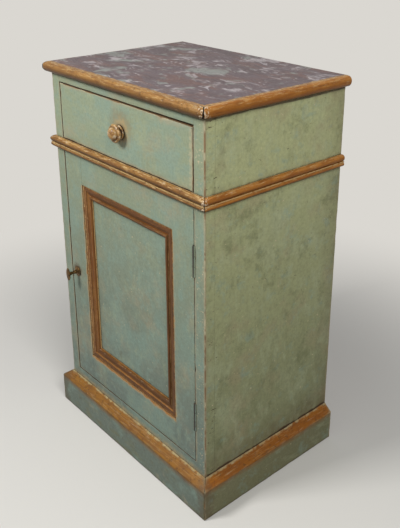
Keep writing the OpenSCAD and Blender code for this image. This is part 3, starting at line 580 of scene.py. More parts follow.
@functools.cache
def sage_plinth_paint():
    """The same sage paint on the plinth, scuffed by feet, with its bevel picked out in gold."""
    return brushed_paint("Sage casein paint with gold bevel", ("sage_foot", "sage_foot"), [
        ("sage_cool", 60, 0.6, 0.48, 0.66, 0.6),
        ("sage_tan", 30, 0.65, 0.56, 0.72, 0.45),
        ("grime", 22, 0.75, 0.55, 0.72, 0.6)], [
        ("olive_foot", 18, 0.65, 0.48, 0.66, 0.6)], 0.12, gold_bevel(56.5, FOOT_GOLD),
        ("olive_foot", "scuffed", "umber"))


def olive_coat(name, tones, extras, skip=0):
    """The sides' yellowed paint, with what lies on it at the board's place, less its largest clouds."""
    return brushed_paint(name, tones, [
        ("olive_pale", 90, 0.55, 0.46, 0.68, 0.6),
        ("olive_tan", 60, 0.6, 0.5, 0.7, 0.5),
        ("olive_dark", 52, 0.75, 0.52, 0.7, 0.6),
        ("sage_cool", 24, 0.65, 0.52, 0.7, 0.5),
        ("olive_dark", 14, 0.75, 0.56, 0.72, 0.45),
        ("grime", 5, 0.6, 0.65, 0.72, 0.75),
        ("undercoat", 5, 0.4, 0.7, 0.74, 0.9)][skip:], [
        ("olive_dark", 26, 0.65, 0.52, 0.72, 0.4),
        ("olive_pale", 15, 0.6, 0.52, 0.7, 0.4)], 0.1, extras, ("olive_tan", "undercoat", "scuffed"))


def side_dirt_and_shade(coat):
    """What lies on the sides: dirt towards the floor, darkening towards the back, dark lines under the top
    and the waist and along the plinth, which are painted shade with dirt, and slanted scratches.
    """
    for tint, axis, level, reach, *wear in (
            ("grime", "Z", PLINTH_HIGH.z, 90, 45, 0.1, 0.7, 0.6),
            ("grime", "Y", BACK_Y, 80, 60, 0.1, 0.75, 0.4),
            ("umber", "Z", PLINTH_HIGH.z, 9, 22, 0.22, 0.4, 0.9),
            ("umber", "Z", TOP_LOW.z, 10, 90, 0.2, 0.32, 0.85),
            ("umber", "Z", WAIST_LOW.z, 7, 90, 0.2, 0.32, 0.6)):
        coat.wear(tint, coat.near(coat.axes[axis], level, reach), *wear)
    front = coat.add(RANGE, {"From Min": FRONT_Y + 110 * MM, "From Max": FRONT_Y + 15 * MM},
                     {"Value": coat.axes["Y"]})
    slanted = coat.add(MAPPING, {"Rotation": (0.6, 0, 0), "Scale": (1, 0.25, 1)}, {"Vector": coat.place})
    coat.mottle([("umber", 2.6, 0.5, 0.7, 0.74, 0.85)], slanted, coat.ragged(front, 60, 0.35, 0.6, 0.08))


@functools.cache
def olive_paint():
    """Yellowed olive casein paint on the sides, brushed upright: dark mottling, pale clouds, white specks."""
    return olive_coat("Olive casein paint on pine", ("olive", "olive_low"), side_dirt_and_shade)


@functools.cache
def olive_plinth_paint():
    """The olive paint on the plinth's sides, which laps over the lower part of their gold bevel."""
    return olive_coat("Olive casein paint with gold bevel", ("olive_foot", "olive_foot"),
                      gold_bevel(57.5, SIDE_FOOT_GOLD), 2)


def gilt(name, tones, flecks, roughness, dirt, hollow):
    """Gold paint over pine, satin from wax: streaky along its length, cream where it is chipped."""
    coat = Coat(name)
    coat.colour = gold_colour(coat, tones, flecks)
    # Colour laid in the profile's inner corners: a darker tint there is painted shade, a paler one painted
    # light that lifts the shade of the cove
    coat.wear(hollow[0], "hollow", 10, 0.2, 0.5, hollow[1])
    coat.dirt_and_shade(tones[3], 5, dirt)
    coat.wear(tones[2], "arris", 6, 0.3, 0.46, 0.85)
    coat.wear("gesso", "chip", 4, 0.46, 0.5, 0.9)
    # Painted shade on the ends of opened mitres, as a black line
    joint = coat.add("ShaderNodeAttribute", {"attribute_name": "open_end"}).outputs["Fac"]
    coat.lay("soot", coat.add(RANGE, {"From Min": 0.4, "From Max": 0.8, "To Max": 0.95}, {"Value": joint}))
    strokes = coat.add(NOISE, {"Scale": scale_for(2), "Detail": 4.0, "Roughness": 0.65},
                       {"Vector": coat.along_grain(8)})
    return coat.finish(strokes, (roughness - 0.1, roughness + 0.1), 0.8, 0.5, {"Specular IOR Level": 0.25})


@functools.cache
def gold_paint(tones=FRONT_GOLD, flecks=1.0):
    """Ochre-gold paint on top edge and waist: bright streaks above, brown ground below, a waxed shine."""
    name = "Ochre gold paint on pine" if tones == FRONT_GOLD else "Amber gold paint on pine"
    # The red-brown laid in the profile's inner corners is painted shade in the waist's groove
    return gilt(name, tones, flecks, 0.42, 0.25, ("amber_deep", 0.8))


@functools.cache
def red_gold_paint(state):
    """The panel moulding's gold over a red-brown ground: thin, worn away, or darkened by dirt where most has
    gone.
    """
    # The last of each is laid in the profile's inner corners: umber as painted shade, and the paler ochre and
    # amber as painted light against the shade of the cove
    tones, flecks, dirt, hollow = {
        "Thin": (("russet", "russet_deep", "ochre_pale", "russet_deep"), 0.7, 0.6, ("umber", 0.5)),
        "Worn": (("russet_worn", "ochre_under", "russet", "russet_deep"), 0.4, 0.1, ("ochre_pale", 0.7)),
        "Dirty": (("ochre_deep", "ochre_under", "ochre", "russet_deep"), 0.5, 0.1, ("amber", 0.5)),
    }[state]
    return gilt(f"{state} gold paint over red-brown", tones, flecks, 0.5, dirt, hollow)


@functools.cache
def knob_gilt():
    """Rubbed gilt on the knob: brownish gold with cream highlights, nearly black in grooves, as dirt and
    painted shade, and in rubs.
    """
    coat = Coat("Rubbed gilt on turned wood", "knob")
    coat.mottle([
        ("ochre_deep", 11, 0.6, 0.46, 0.58, 0.8),
        ("umber", 8, 0.65, 0.53, 0.6, 0.85),
        ("gesso", 8, 0.55, 0.53, 0.62, 0.85),
        ("ochre", 8, 0.5, 0.52, 0.66, 0.4)])
    coat.dirt_and_shade("umber", 4, 0.9, 0.4)
    rubs = coat.add(NOISE, {"Scale": scale_for(3), "Detail": 4.0, "Roughness": 0.6}, {"Vector": coat.place})
    return coat.finish(rubs, (0.26, 0.48), 0.7, 0.5)


def top_edge_lap(coat):
    """Mask of the gold that laps over the flat of the top at the front and right, with a ragged line."""
    lap = bpy.context.scene.cupboard_sizes.gold_lap
    from_side = coat.add(MATH, {"operation": "SUBTRACT", 1: TOP_HALF_W}, {0: coat.axes["X"]})
    from_front = coat.add(MATH, {"operation": "SUBTRACT", 0: TOP_LOW.y}, {1: coat.axes["Y"]})
    edge = coat.add(MATH, {"operation": "MAXIMUM"}, {0: from_side, 1: from_front})
    edge = coat.wandering(edge, 14, 12)
    return coat.add(RANGE, {"interpolation_type": "SMOOTHSTEP", "From Min": 5 * MM - lap,
                            "From Max": 7.5 * MM - lap}, {"Value": edge})


@functools.cache
def marble_paint():
    """Faux marble painted on the top: plum-brown clouds, grey-green pools and pale veins under old wax."""
    coat = Coat("Faux marble paint on pine", "plum")
    drift = coat.add(NOISE, {"Scale": scale_for(90), "Detail": 3.0}, {"Vector": coat.place}).outputs["Color"]
    warp = coat.add("ShaderNodeVectorMath", {"operation": "MULTIPLY_ADD", 1: (70 * MM, 70 * MM, 0.0)},
                    {0: drift, 2: coat.place})
    along, pools = (
        coat.add(MAPPING, {"Rotation": (0, 0, math.radians(turn)), "Scale": (*stretch, 1.0)},
                 {"Vector": warp})
        for turn, stretch in ((8, (0.3, 1.0)), (-10, (0.65, 0.8))))
    coat.mottle([
        ("plum_dark", 30, 0.65, 0.44, 0.62, 0.85),
        ("plum_red", 22, 0.65, 0.47, 0.64, 0.85)], along)
    coat.mottle([
        ("marble_green", 58, 0.65, 0.56, 0.64, 0.8),
        ("plum_red", 38, 0.65, 0.55, 0.66, 0.6),
        ("marble_pale", 44, 0.7, 0.55, 0.65, 0.8),
        ("marble_green", 26, 0.65, 0.56, 0.66, 0.8),
        ("plum_dark", 9, 0.7, 0.52, 0.66, 0.6)], pools)
    coat.mottle([
        ("marble_pale", 19, 0.65, 0.56, 0.66, 0.8),
        ("plum_dark", 4.5, 0.65, 0.5, 0.66, 0.5)], along)
    field = coat.add(NOISE, {"Scale": scale_for(60), "Detail": 3.0, "Roughness": 0.5}, {"Vector": along})
    vein = coat.add(RANGE, {"From Min": 0.04, "From Max": 0.008}, {"Value": coat.off(field, 0.5)})
    coat.wear("marble_pale", vein, 30, 0.5, 0.62, 0.85)
    coat.lay(gold_colour(coat, FRONT_GOLD, 0.8), top_edge_lap(coat))
    strokes = coat.add(NOISE, {"Scale": scale_for(3), "Detail": 4.0}, {"Vector": along})
    return coat.finish(strokes, (0.42, 0.6), 0.4, 0.2, {"Specular IOR Level": 0.35})


@functools.cache
def aged_pine(turn=None):
    """Bare sawn and planed pine, oxidised to honey brown: long dark grain lines, dusty and matt."""
    coat = Coat("Aged bare pine" if turn is None else f"Aged bare pine {turn}", "pine")
    if turn is None:
        long_way = coat.add("ShaderNodeAttribute", {"attribute_name": "grain"}).outputs["Vector"]
    else:
        rotation = {"x": (0, 0, 0), "y": (0, 0, -math.pi / 2), "z": (0, math.pi / 2, 0)}[turn]
        long_way = coat.add(MAPPING, {"Rotation": rotation}, {"Vector": coat.place})
    drawn = coat.add(MAPPING, {"Scale": (0.035, 1.0, 1.0)}, {"Vector": long_way})
    coat.mottle([("pine_dark", 16, 0.5, 0.45, 0.7, 0.6), ("pine_dark", 3.4, 0.55, 0.52, 0.64, 0.75)], drawn)
    coat.mottle([("pine_dark", 70, 0.6, 0.45, 0.7, 0.5), ("grime", 22, 0.6, 0.58, 0.75, 0.5)])
    coat.dirt_and_shade("grime", 12, 0.7)
    coat.dirt_and_shade("soot", 4, 0.8, 0.3)
    lines = coat.add(NOISE, {"Scale": scale_for(2.6), "Detail": 4.0}, {"Vector": drawn})
    return coat.finish(lines, None, 0.6, 0.25, {"Roughness": 0.72})


@functools.cache
def aged_brass():
    """Cast brass, never polished: brown-black tarnish with a warm shine where fingers touch it."""
    coat = Coat("Tarnished cast brass", "brass")
    coat.mottle([("tarnish", 7, 0.6, 0.4, 0.62, 0.85), ("tarnish", 1.8, 0.6, 0.5, 0.65, 0.6)])
    coat.dirt_and_shade("tarnish", 3, 0.8)
    pits = coat.add(NOISE, {"Scale": scale_for(1.5), "Detail": 3.0}, {"Vector": coat.place})
    return coat.finish(pits, (0.32, 0.55), 0.4, 0.15, {"Metallic": 0.85})


@functools.cache
def rusted_iron():
    """Wrought iron of hinges, screws and nails: nearly black, with thin brown rust that has no shine."""
    coat = Coat("Rusted wrought iron", "iron")
    coat.mottle([("rust", 6, 0.6, 0.45, 0.6, 0.9), ("tarnish", 2, 0.6, 0.5, 0.65, 0.5)])
    pits = coat.add(NOISE, {"Scale": scale_for(1.2), "Detail": 4.0}, {"Vector": coat.place})
    return coat.finish(pits, (0.5, 0.8), 0.6, 0.2, {"Metallic": 0.6})


@functools.cache
def painted_iron():
    """Hinges painted with the front: a sage skin with a black line of painted shade down the knuckles, rusty
    iron in the joint.
    """
    coat = Coat("Sage paint on wrought iron")
    dirt_and_shade_towards_floor(coat, ("sage", "sage_low"))
    coat.mottle([("sage_cool", 12, 0.6, 0.45, 0.65, 0.6), ("rust", 9, 0.65, 0.58, 0.66, 0.6)])
    # A black line painted down the knuckles at the hinge pin, as the shade of their gap
    split = coat.add(RANGE, {"From Min": 2.4 * MM, "From Max": 1.2 * MM},
                     {"Value": coat.off(coat.axes["X"], HINGE_X)})
    coat.wear("soot", split, 25, 0.12, 0.3, 0.95)
    inside = coat.add(RANGE, {"From Min": FRONT_Y, "From Max": FRONT_Y + 4 * MM}, {"Value": coat.axes["Y"]})
    bare = coat.beside("iron")
    bare.mottle([("rust", 6, 0.6, 0.45, 0.6, 0.8)])
    coat.wear(bare.colour, inside, 7, 0.15, 0.3)
    coat.dirt_and_shade("soot", 3, 0.25, 0.3)
    lumps = coat.add(NOISE, {"Scale": scale_for(2.5), "Detail": 4.0, "Roughness": 0.6},
                     {"Vector": coat.place})
    return coat.finish(lumps, (0.45, 0.7), 0.6, 0.3)


# ---- Mesh tools ----

def shown(mesh, name, node, materials):
    """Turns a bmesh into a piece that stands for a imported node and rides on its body."""
    data = bpy.data.meshes.new(name)
    bmesh.ops.recalc_face_normals(mesh, faces=mesh.faces)
    mesh.to_mesh(data)
    mesh.free()
    for material in materials:
        data.materials.append(material)
    data.shade_smooth()
    data.set_sharp_from_angle(angle=SMOOTH)
    piece = bpy.data.objects.new(name, data)
    bpy.context.scene.collection.objects.link(piece)
    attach(piece, frame["nodes"][node]["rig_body"])
    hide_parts(node)


def bare_solid(node):
    """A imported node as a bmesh, its points merged and its flat faces whole."""
    mesh = bmesh.new()
    source = frame["nodes"][node].data
    points = [mesh.verts.new(vert.co) for vert in source.vertices]
    for polygon in source.polygons:
        mesh.faces.new([points[index] for index in polygon.vertices])
    bmesh.ops.remove_doubles(mesh, verts=mesh.verts, dist=MERGE)
    bmesh.ops.dissolve_limit(mesh, angle_limit=FLAT, verts=mesh.verts, edges=mesh.edges)
    return mesh


def marked_arrises(mesh):
    """Marks the edges that a hand would ease, and gives the levels on each axis where the long ones lie."""
    levels = [set(), set(), set()]
    for edge in mesh.edges:
        edge.seam = edge.is_manifold and edge.calc_length() > SHORT_EDGE and edge.calc_face_angle() > SHARP
        if edge.seam and edge.calc_length() > LONG_EDGE:
            ends = [vert.co for vert in edge.verts]
            for axis in range(3):
                if abs(ends[0][axis] - ends[1][axis]) < MERGE:
                    levels[axis].add(round(ends[0][axis], 5))
    return levels


def cut_at(mesh, axis, places):
    """Cuts a mesh across one axis without opening it."""
    across = Vector([float(axis == each) for each in range(3)])
    for place in places:
        everything = mesh.verts[:] + mesh.edges[:] + mesh.faces[:]
        bmesh.ops.bisect_plane(mesh, geom=everything, dist=MERGE, plane_co=across * place, plane_no=across)


def cut_places(low, high, levels, step):
    """Where a board is cut across one axis: just inside its arrises and in steps between them."""
    wanted = [level + side * CUT_INSET for level in levels for side in (-1, 1)]
    room = high - low - 2 * CUT_INSET
    count = max(1, round(room / step))
    wanted += [low + CUT_INSET + room * i / count for i in range(count + 1)]
    places = []
    for place in wanted:
        if low < place < high and all(abs(place - other) > CUT_GAP for other in [*places, *levels]):
            places.append(place)
    return places


def surface_of(node):
    """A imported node's surface, to find what touches it."""
    source = frame["nodes"][node].data
    return BVHTree.FromPolygons(
        [vert.co for vert in source.vertices], [face.vertices for face in source.polygons])


def coated(mesh, finishes):
    """Gives each face the first finish whose test of a normal it passes, and returns their materials."""
    for face in mesh.faces:
        face.material_index = next(i for i, (_, seen) in enumerate(finishes) if seen(face.normal))
    return [material for material, _ in finishes]


def worn_board(node, finishes, joined=(), steps=(8, 14, 14), wear=0.8, end_wear=None):
    """A packed board with eased and chipped arrises and plane hollows.

    finishes are (material, test of a normal), and what no test holds for is bare. joined are the nodes
    that it meets in a joint, where its arrises stay sharp. steps are the cuts along its length, width
    and thickness, in millimetres. wear is how chipped its arrises are, and end_wear the same at its ends.
    """
    sizes = bpy.context.scene.cupboard_sizes
    low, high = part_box(node)
    span = high - low
    order = sorted(range(3), key=lambda axis: -span[axis])
    long_way = order[0]
    neighbours = [surface_of(each) for each in joined]

    def in_joint(spot):
        return any(each.find_nearest(spot, sizes.edge_round)[0] is not None for each in neighbours)

    mesh = bare_solid(node)
    rim = mesh.faces.layers.int.new("rim")
    arris = mesh.verts.layers.float.new("arris")
    near_arris = mesh.verts.layers.float.new("near_arris")
    grain = mesh.verts.layers.float_vector.new("grain")
    levels = marked_arrises(mesh)
    for face in mesh.faces:
        longest = max(edge.calc_length() for edge in face.edges)
        face[rim] = int(longest > LONG_EDGE and face.calc_area() / longest < SLIVER)
    for axis in range(3):
        ends = [corner[axis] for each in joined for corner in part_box(each)]
        corners = [vert.co[axis] for vert in mesh.verts]
        cut_at(mesh, axis, [end for end in ends if all(abs(end - other) > SLIVER for other in corners)])
    eased = [edge for edge in mesh.edges if edge.seam and edge.is_manifold and edge.calc_face_angle() > SHARP
             and not in_joint((edge.verts[0].co + edge.verts[1].co) / 2)]
    made = bmesh.ops.bevel(mesh, geom=eased, offset=sizes.edge_round, segments=2, profile=0.5, affect="EDGES",
                           clamp_overlap=True)
    for face in made["faces"]:
        face[rim] = 1
    for rank, axis in enumerate(order):
        cut_at(mesh, axis, cut_places(low[axis], high[axis], levels[axis], steps[rank] * MM))
    mesh.normal_update()
    materials = coated(mesh, [*finishes, (aged_pine(), any_face)])
    moves = []
    for vert in mesh.verts:
        spot = vert.co
        vert[grain] = Vector([spot[axis] for axis in order])
        depth = sizes.hollow * (0.5 + 0.5 * noise.noise(spot * PLANE_WAVES))
        if any(face[rim] for face in vert.link_faces) and not in_joint(spot):
            knock = max(0.0, noise.noise(spot * KNOCK_WAVES) - 0.1)
            knock += 0.5 * max(0.0, noise.noise(spot * SPLINTER_WAVES) - 0.1)
            to_end = max(0.0, min(spot[long_way] - low[long_way], high[long_way] - spot[long_way]))
            here = wear
            if end_wear is not None:
                here += (end_wear - wear) * math.exp(-to_end / END_REACH)
            vert[arris] = min(1.0, here * (0.75 + 0.3 * noise.noise(spot * RUB_WAVES) + 0.6 * knock))
            depth += sizes.chip * here * knock
        moves.append(spot - vert.normal * depth)
    for vert in mesh.verts:
        beside = [edge.other_vert(vert)[arris] for edge in vert.link_edges]
        vert[near_arris] = max(vert[arris], 0.6 * max(beside, default=0.0))
    for vert, moved in zip(mesh.verts, moves):
        vert.co = moved
    shown(mesh, f"{node}_worn", node, materials)


def front_board(node, joined, steps, wear, *others):
    """A board of the front, in sage paint where it faces the room."""
    worn_board(node, [(sage_paint(), facing("-y")), *others], joined, steps, wear)


def arc(centre, radius, start, end, steps):
    """Points of an arc in an outline, its angles in degrees."""
    angles = [math.radians(start + (end - start) * i / steps) for i in range(steps + 1)]
    return [(centre[0] + radius * math.cos(a), centre[1] + radius * math.sin(a)) for a in angles]


def stations(run):
    """Shares of a run, close together near its ends."""
    count = max(8, round(run / (9 * MM)))
    return [0.5 - 0.5 * math.cos(math.pi * (0.02 + 0.96 * i / count)) if 0 < i < count else i / count
            for i in range(count + 1)]


def skinned(mesh, rows):
    """Closes the faces between rows of points, each a ring or a single point."""
    for row, beyond in zip(rows, rows[1:]):
        for k in range(max(len(row), len(beyond))):
            corners = [row[k % len(row)], row[(k + 1) % len(row)], beyond[(k + 1) % len(beyond)],
                       beyond[k % len(beyond)]]
            mesh.faces.new(list(dict.fromkeys(corners)))


def swept(node, outline, place, run, ends=(1.0, 1.0), opening=(0.0, 0.0), finishes=None):
    """A moulding: an outline of (out, up) points run along a line, dented and chipped.

    ends are how much each end has crumbled, and opening how far each mitre has opened.
    """
    sizes = bpy.context.scene.cupboard_sizes
    mesh = bmesh.new()
    arris, chip, open_end, hollow = (
        mesh.verts.layers.float.new(mark) for mark in ("arris", "chip", "open_end", "hollow"))
    grain = mesh.verts.layers.float_vector.new("grain")
    core = Vector((sum(p[0] for p in outline), sum(p[1] for p in outline))) / len(outline)
    base = min(p[1] for p in outline)
    tall = max(p[1] for p in outline) - base
    winding = sum(Vector(a).cross(Vector(b)) for a, b in zip(outline, outline[1:] + outline[:1]))
    rows = []
    for share in stations(run):
        row = []
        across = 0.0
        along = share * run
        # Towards each end it has crumbled within 9 mm, worn within 45 and opened within 7
        near, worn, drawn = (
            [amount * math.exp(-away / (reach * MM)) for amount, away in zip(amounts, (along, run - along))]
            for amounts, reach in ((ends, 9), (ends, 45), (opening, 7)))
        for index, point in enumerate(outline):
            before = Vector(outline[index - 1])
            here = Vector(point)
            after = Vector(outline[(index + 1) % len(outline)])
            across += (here - before).length if index else 0.0
            turn = (here - before).angle(after - here, 0.0)
            inward = (here - before).cross(after - here) * winding < 0
            spot = place(share, *point)
            crumbled = sum(near) * max(0.0, 0.3 + noise.noise(spot * CRUMB_WAVES))
            dented = max(0.0, noise.noise(Vector((along, across, spot.z)) * DENT_WAVES) - 0.05)
            pull = min(0.8, (crumbled * sizes.crumble + dented * sizes.dent) / max((core - here).length, MM))
            moved = here.lerp(core, pull if point[0] > 0 else 0.0)
            low = 1 - (point[1] - base) / tall
            shift = (drawn[0] - drawn[1]) * (0.1 + 1.4 * low * low) / run
            shift *= 1 + 0.6 * noise.noise(spot * MITRE_WAVES)
            vert = mesh.verts.new(place(share + shift, moved.x, moved.y))
            vert[arris] = float(turn > SHARP and not inward)
            vert[hollow] = float(turn > SHARP / 3 and inward)
            vert[chip] = min(1.0, sum(worn) + 0.4 * crumbled)
            vert[open_end] = float(any(at == share and end > 0.5 for at, end in zip((0, 1), ends)))
            vert[grain] = Vector((along, across, 0.0))
            row.append(vert)
        rows.append(row)
    skinned(mesh, rows)
    mesh.faces.new(rows[0])
    mesh.faces.new(rows[-1])
    bmesh.ops.recalc_face_normals(mesh, faces=mesh.faces)
    shown(mesh, f"{node}_run", node, coated(mesh, finishes or [(gold_paint(), any_face)]))


def along_front(half_w, face_y, gap=0.0):
    """Where a moulding across the front lies, with mitred ends."""
    def place(share, out, up):
        return Vector(((2 * share - 1) * (half_w + out - gap), face_y - out, up))
    return place


def along_side(side, half_w, face_y):
    """Where a moulding along a side lies; side is 1 on the right, and its front end is mitred."""
    def place(share, out, up):
        return Vector((side * (half_w + out), (face_y - out) * (1 - share) + BACK_Y * share, up))
    return place


def turned(mesh, outline, centre, rough, narrow=1.0):
    """Turns an outline of (radius, out) points about a line towards -Y; narrow squeezes its width."""
    noise.seed_set(TOOL_SEED)
    rows = []
    for radius, out in outline:
        row = []
        turns = 56 if radius > MERGE else 1
        for k in range(turns):
            angle = 2 * math.pi * k / turns
            spot = centre + Vector((narrow * radius * math.cos(angle), -out, radius * math.sin(angle)))
            row.append(mesh.verts.new(spot + rough * noise.noise_vector(spot * TOOL_WAVES)))
        rows.append(row)
    skinned(mesh, rows)


def keep_node(node, material, rounding=None):
    """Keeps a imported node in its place, softens its edges and gives it its finish."""
    piece = frame["nodes"][node]
    for each in piece.material_slots:
        each.link = "OBJECT"
        each.material = material
    if rounding:
        weld = piece.modifiers.new("Joined faces", "WELD")
        weld.merge_threshold = MERGE
        bevel = piece.modifiers.new("Worn edges", "BEVEL")
        bevel.width = rounding
        bevel.segments = 2
        bevel.limit_method = "ANGLE"
        bevel.angle_limit = SHARP


# ---- Tests of which faces are painted ----

def facing(*ways, least=0.3):
    """Test whether a normal leans far enough towards one of some ways, such as -y for the front."""
    leans = [(1 if way[0] == "+" else -1, "xyz".index(way[1])) for way in ways]
    return lambda normal: any(sign * normal[axis] > least for sign, axis in leans)


def any_face(normal):
    """Holds for every face."""
    return True


# ---- Pieces ----

class CUPBOARD_OT_top(bpy.types.Operator):
    """Marbled top board with its half-round gold edge"""
    bl_idname = "cupboard.top"
    bl_label = "Top"

    def execute(self, context):
        open_by = context.scene.cupboard_sizes.mitre_gap
        edges = ("top_moulding_front", "top_moulding_left", "top_moulding_right")
        front, left, right = edges
        worn_board("top_board", [(marble_paint(), facing("+z", least=0.5))], edges, wear=0)
        radius = (TOP_HIGH.z - TOP_LOW.z) / 2
        nose = arc((0.0, TOP_LOW.z + radius), radius, -90, 90, 16)
        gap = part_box(right)[1].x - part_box(front)[1].x
        depth = BACK_Y - TOP_LOW.y
        swept(front, nose, along_front(TOP_HALF_W, TOP_LOW.y, gap), 2 * TOP_HALF_W, (0.6, 0.95),
              (0.0, open_by), [(gold_paint(FRONT_GOLD, 0.55), any_face)])
        gold = (gold_paint(SIDE_GOLD, 0.5), any_face)
        swept(right, nose, along_side(1, TOP_HALF_W, TOP_LOW.y), depth, (1.0, 0.3),
              (0.4 * open_by, 0.0), [gold])
        swept(left, nose, along_side(-1, TOP_HALF_W, TOP_LOW.y), depth, (0.6, 0.2),
              finishes=[(marble_paint(), facing("+z", least=0.8)), gold])
        return {"FINISHED"}


class CUPBOARD_OT_sides(bpy.types.Operator):
    """Side boards in olive paint, bare inside"""
    bl_idname = "cupboard.sides"
    bl_label = "Sides"

    def execute(self, context):
        for side, way in OUTWARD.items():
            worn_board(f"side_{side}", [(olive_paint(), facing(way))], (f"front_stile_{side}",))
        return {"FINISHED"}


class CUPBOARD_OT_front_frame(bpy.types.Operator):
    """Stiles and rails of the front frame in sage paint"""
    bl_idname = "cupboard.front_frame"
    bl_label = "Front frame"

    def execute(self, context):
        rails = ("top_rail", "middle_rail", "bottom_rail")
        for side, way in OUTWARD.items():
            front_board(f"front_stile_{side}", (*rails, f"side_{side}"), (5, 8, 8), 0.9,
                        (olive_paint(), facing(way)))
        for name, wear in zip(rails, (0.6, 0.5, 0.25)):
            front_board(name, ("front_stile_left", "front_stile_right"), (6, 8, 8), wear)
        return {"FINISHED"}


class CUPBOARD_OT_waist(bpy.types.Operator):
    """Moulding of two beads between the drawer and the door"""
    bl_idname = "cupboard.waist"
    bl_label = "Waist moulding"

    def execute(self, context):
        sizes = context.scene.cupboard_sizes
        reach = FRONT_Y - WAIST_LOW.y
        low_r = sizes.low_bead / 2
        high_r = (WAIST_HIGH.z - WAIST_LOW.z - sizes.low_bead - sizes.quirk) / 2
        outline = [
            (0.0, WAIST_LOW.z),
            *arc((reach - low_r - sizes.low_back, WAIST_LOW.z + low_r), low_r, -90, 90, 10),
            (sizes.quirk_root, WAIST_LOW.z + 2 * low_r),
            (sizes.quirk_root, WAIST_HIGH.z - 2 * high_r),
            *arc((reach - high_r, WAIST_HIGH.z - high_r), high_r, -90, 90, 10),
            (0.0, WAIST_HIGH.z)]
        swept("mid_moulding_front", outline, along_front(HALF_W, FRONT_Y), 2 * HALF_W, (0.7, 0.9),
              (0.0, 0.3 * sizes.mitre_gap))
        for name, side in (("mid_moulding_right", 1), ("mid_moulding_left", -1)):
            swept(name, outline, along_side(side, HALF_W, FRONT_Y), BACK_Y - FRONT_Y, (0.9, 0.2),
                  (0.2 * sizes.mitre_gap, 0.0), [(gold_paint(SIDE_GOLD, 0.5), any_face)])
        return {"FINISHED"}


class CUPBOARD_OT_plinth(bpy.types.Operator):
    """Plinth boards with their bevel in gold"""
    bl_idname = "cupboard.plinth"
    bl_label = "Plinth"

    def execute(self, context):
        for name, slot_name, paint, way in (
                ("plinth_front", "front_paint", sage_plinth_paint, "-y"),
                ("plinth_right", "side_paint", olive_plinth_paint, "+x"),
                ("plinth_left", "side_paint", olive_plinth_paint, "-x")):
            worn_board(name, [(paint(), facing(way, "+z"))], (), (5, 6, 6), 0.35, 1.1)
        return {"FINISHED"}


class CUPBOARD_OT_drawer(bpy.types.Operator):
    """Drawer: painted front, bare dovetailed box"""
    bl_idname = "cupboard.drawer"
    bl_label = "Drawer"

    def execute(self, context):
        rounding = context.scene.cupboard_sizes.inner_round
        front_board("drawer_front", ("drawer_side_left", "drawer_side_right"), (6, 8, 8), 0.95)
        for name, turn in (("side_left", "y"), ("side_right", "y"), ("back", "x"), ("bottom", "x")):
            keep_node(f"drawer_{name}", aged_pine(turn), rounding)
        return {"FINISHED"}


class CUPBOARD_OT_knob(bpy.types.Operator):
    """Turned drawer knob in rubbed gold"""
    bl_idname = "cupboard.knob"
    bl_label = "Knob"

    def execute(self, context):
        sizes = context.scene.cupboard_sizes
        reach = FRONT_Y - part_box("drawer_knob")[0].y
        inner_end = FRONT_Y - DRAWER_HIGH.y
        rim_out = reach / 2
        dome_out = rim_out + sizes.knob_rim
        dome_r = sizes.knob_head - sizes.knob_rim
        face_r = dome_r - 2.2 * MM
        ogee = 1.8 * MM
        hollow = 2 * MM
        outline = [(0.0, inner_end), (sizes.spigot, inner_end), (sizes.spigot, 0.0)]
        outline += arc((sizes.knob_collar - ogee, ogee), ogee, -90, 90, 8)
        outline += arc((sizes.knob_neck + hollow, 5.6 * MM), hollow, 270, 180, 5)
        outline += arc((dome_r, rim_out), sizes.knob_rim, -90, 75, 12)
        outline += [(dome_r - inside * MM, dome_out - below * MM)
                    for inside, below in ((0.6, 0.6), (1.4, 0.8), (2, 0.4))]
        for angle in (math.radians(degrees) for degrees in range(9, 91, 9)):
            outline.append((face_r * math.cos(angle), dome_out + (reach - dome_out) * math.sin(angle)))
        mesh = bmesh.new()
        turned(mesh, outline, KNOB_FOOT, 0.7 * MM)
        shown(mesh, "drawer_knob_turned", "drawer_knob", [knob_gilt()])
        return {"FINISHED"}


class CUPBOARD_OT_door(bpy.types.Operator):
    """Door frame and panel in sage paint"""
    bl_idname = "cupboard.door"
    bl_label = "Door"

    def execute(self, context):
        stiles = ("door_stile_latch", "door_stile_hinge")
        rails = ("door_rail_top", "door_rail_bottom")
        for names, joined, steps, wear in (
                (stiles[:1], rails, (5, 8, 8), 0.6), (stiles[1:], rails, (5, 8, 8), 0.25),
                (rails, stiles, (6, 8, 8), 0.3), (("door_panel",), (), (12, 12, 8), 0)):
            for name in names:
                front_board(name, joined, steps, wear)
        return {"FINISHED"}


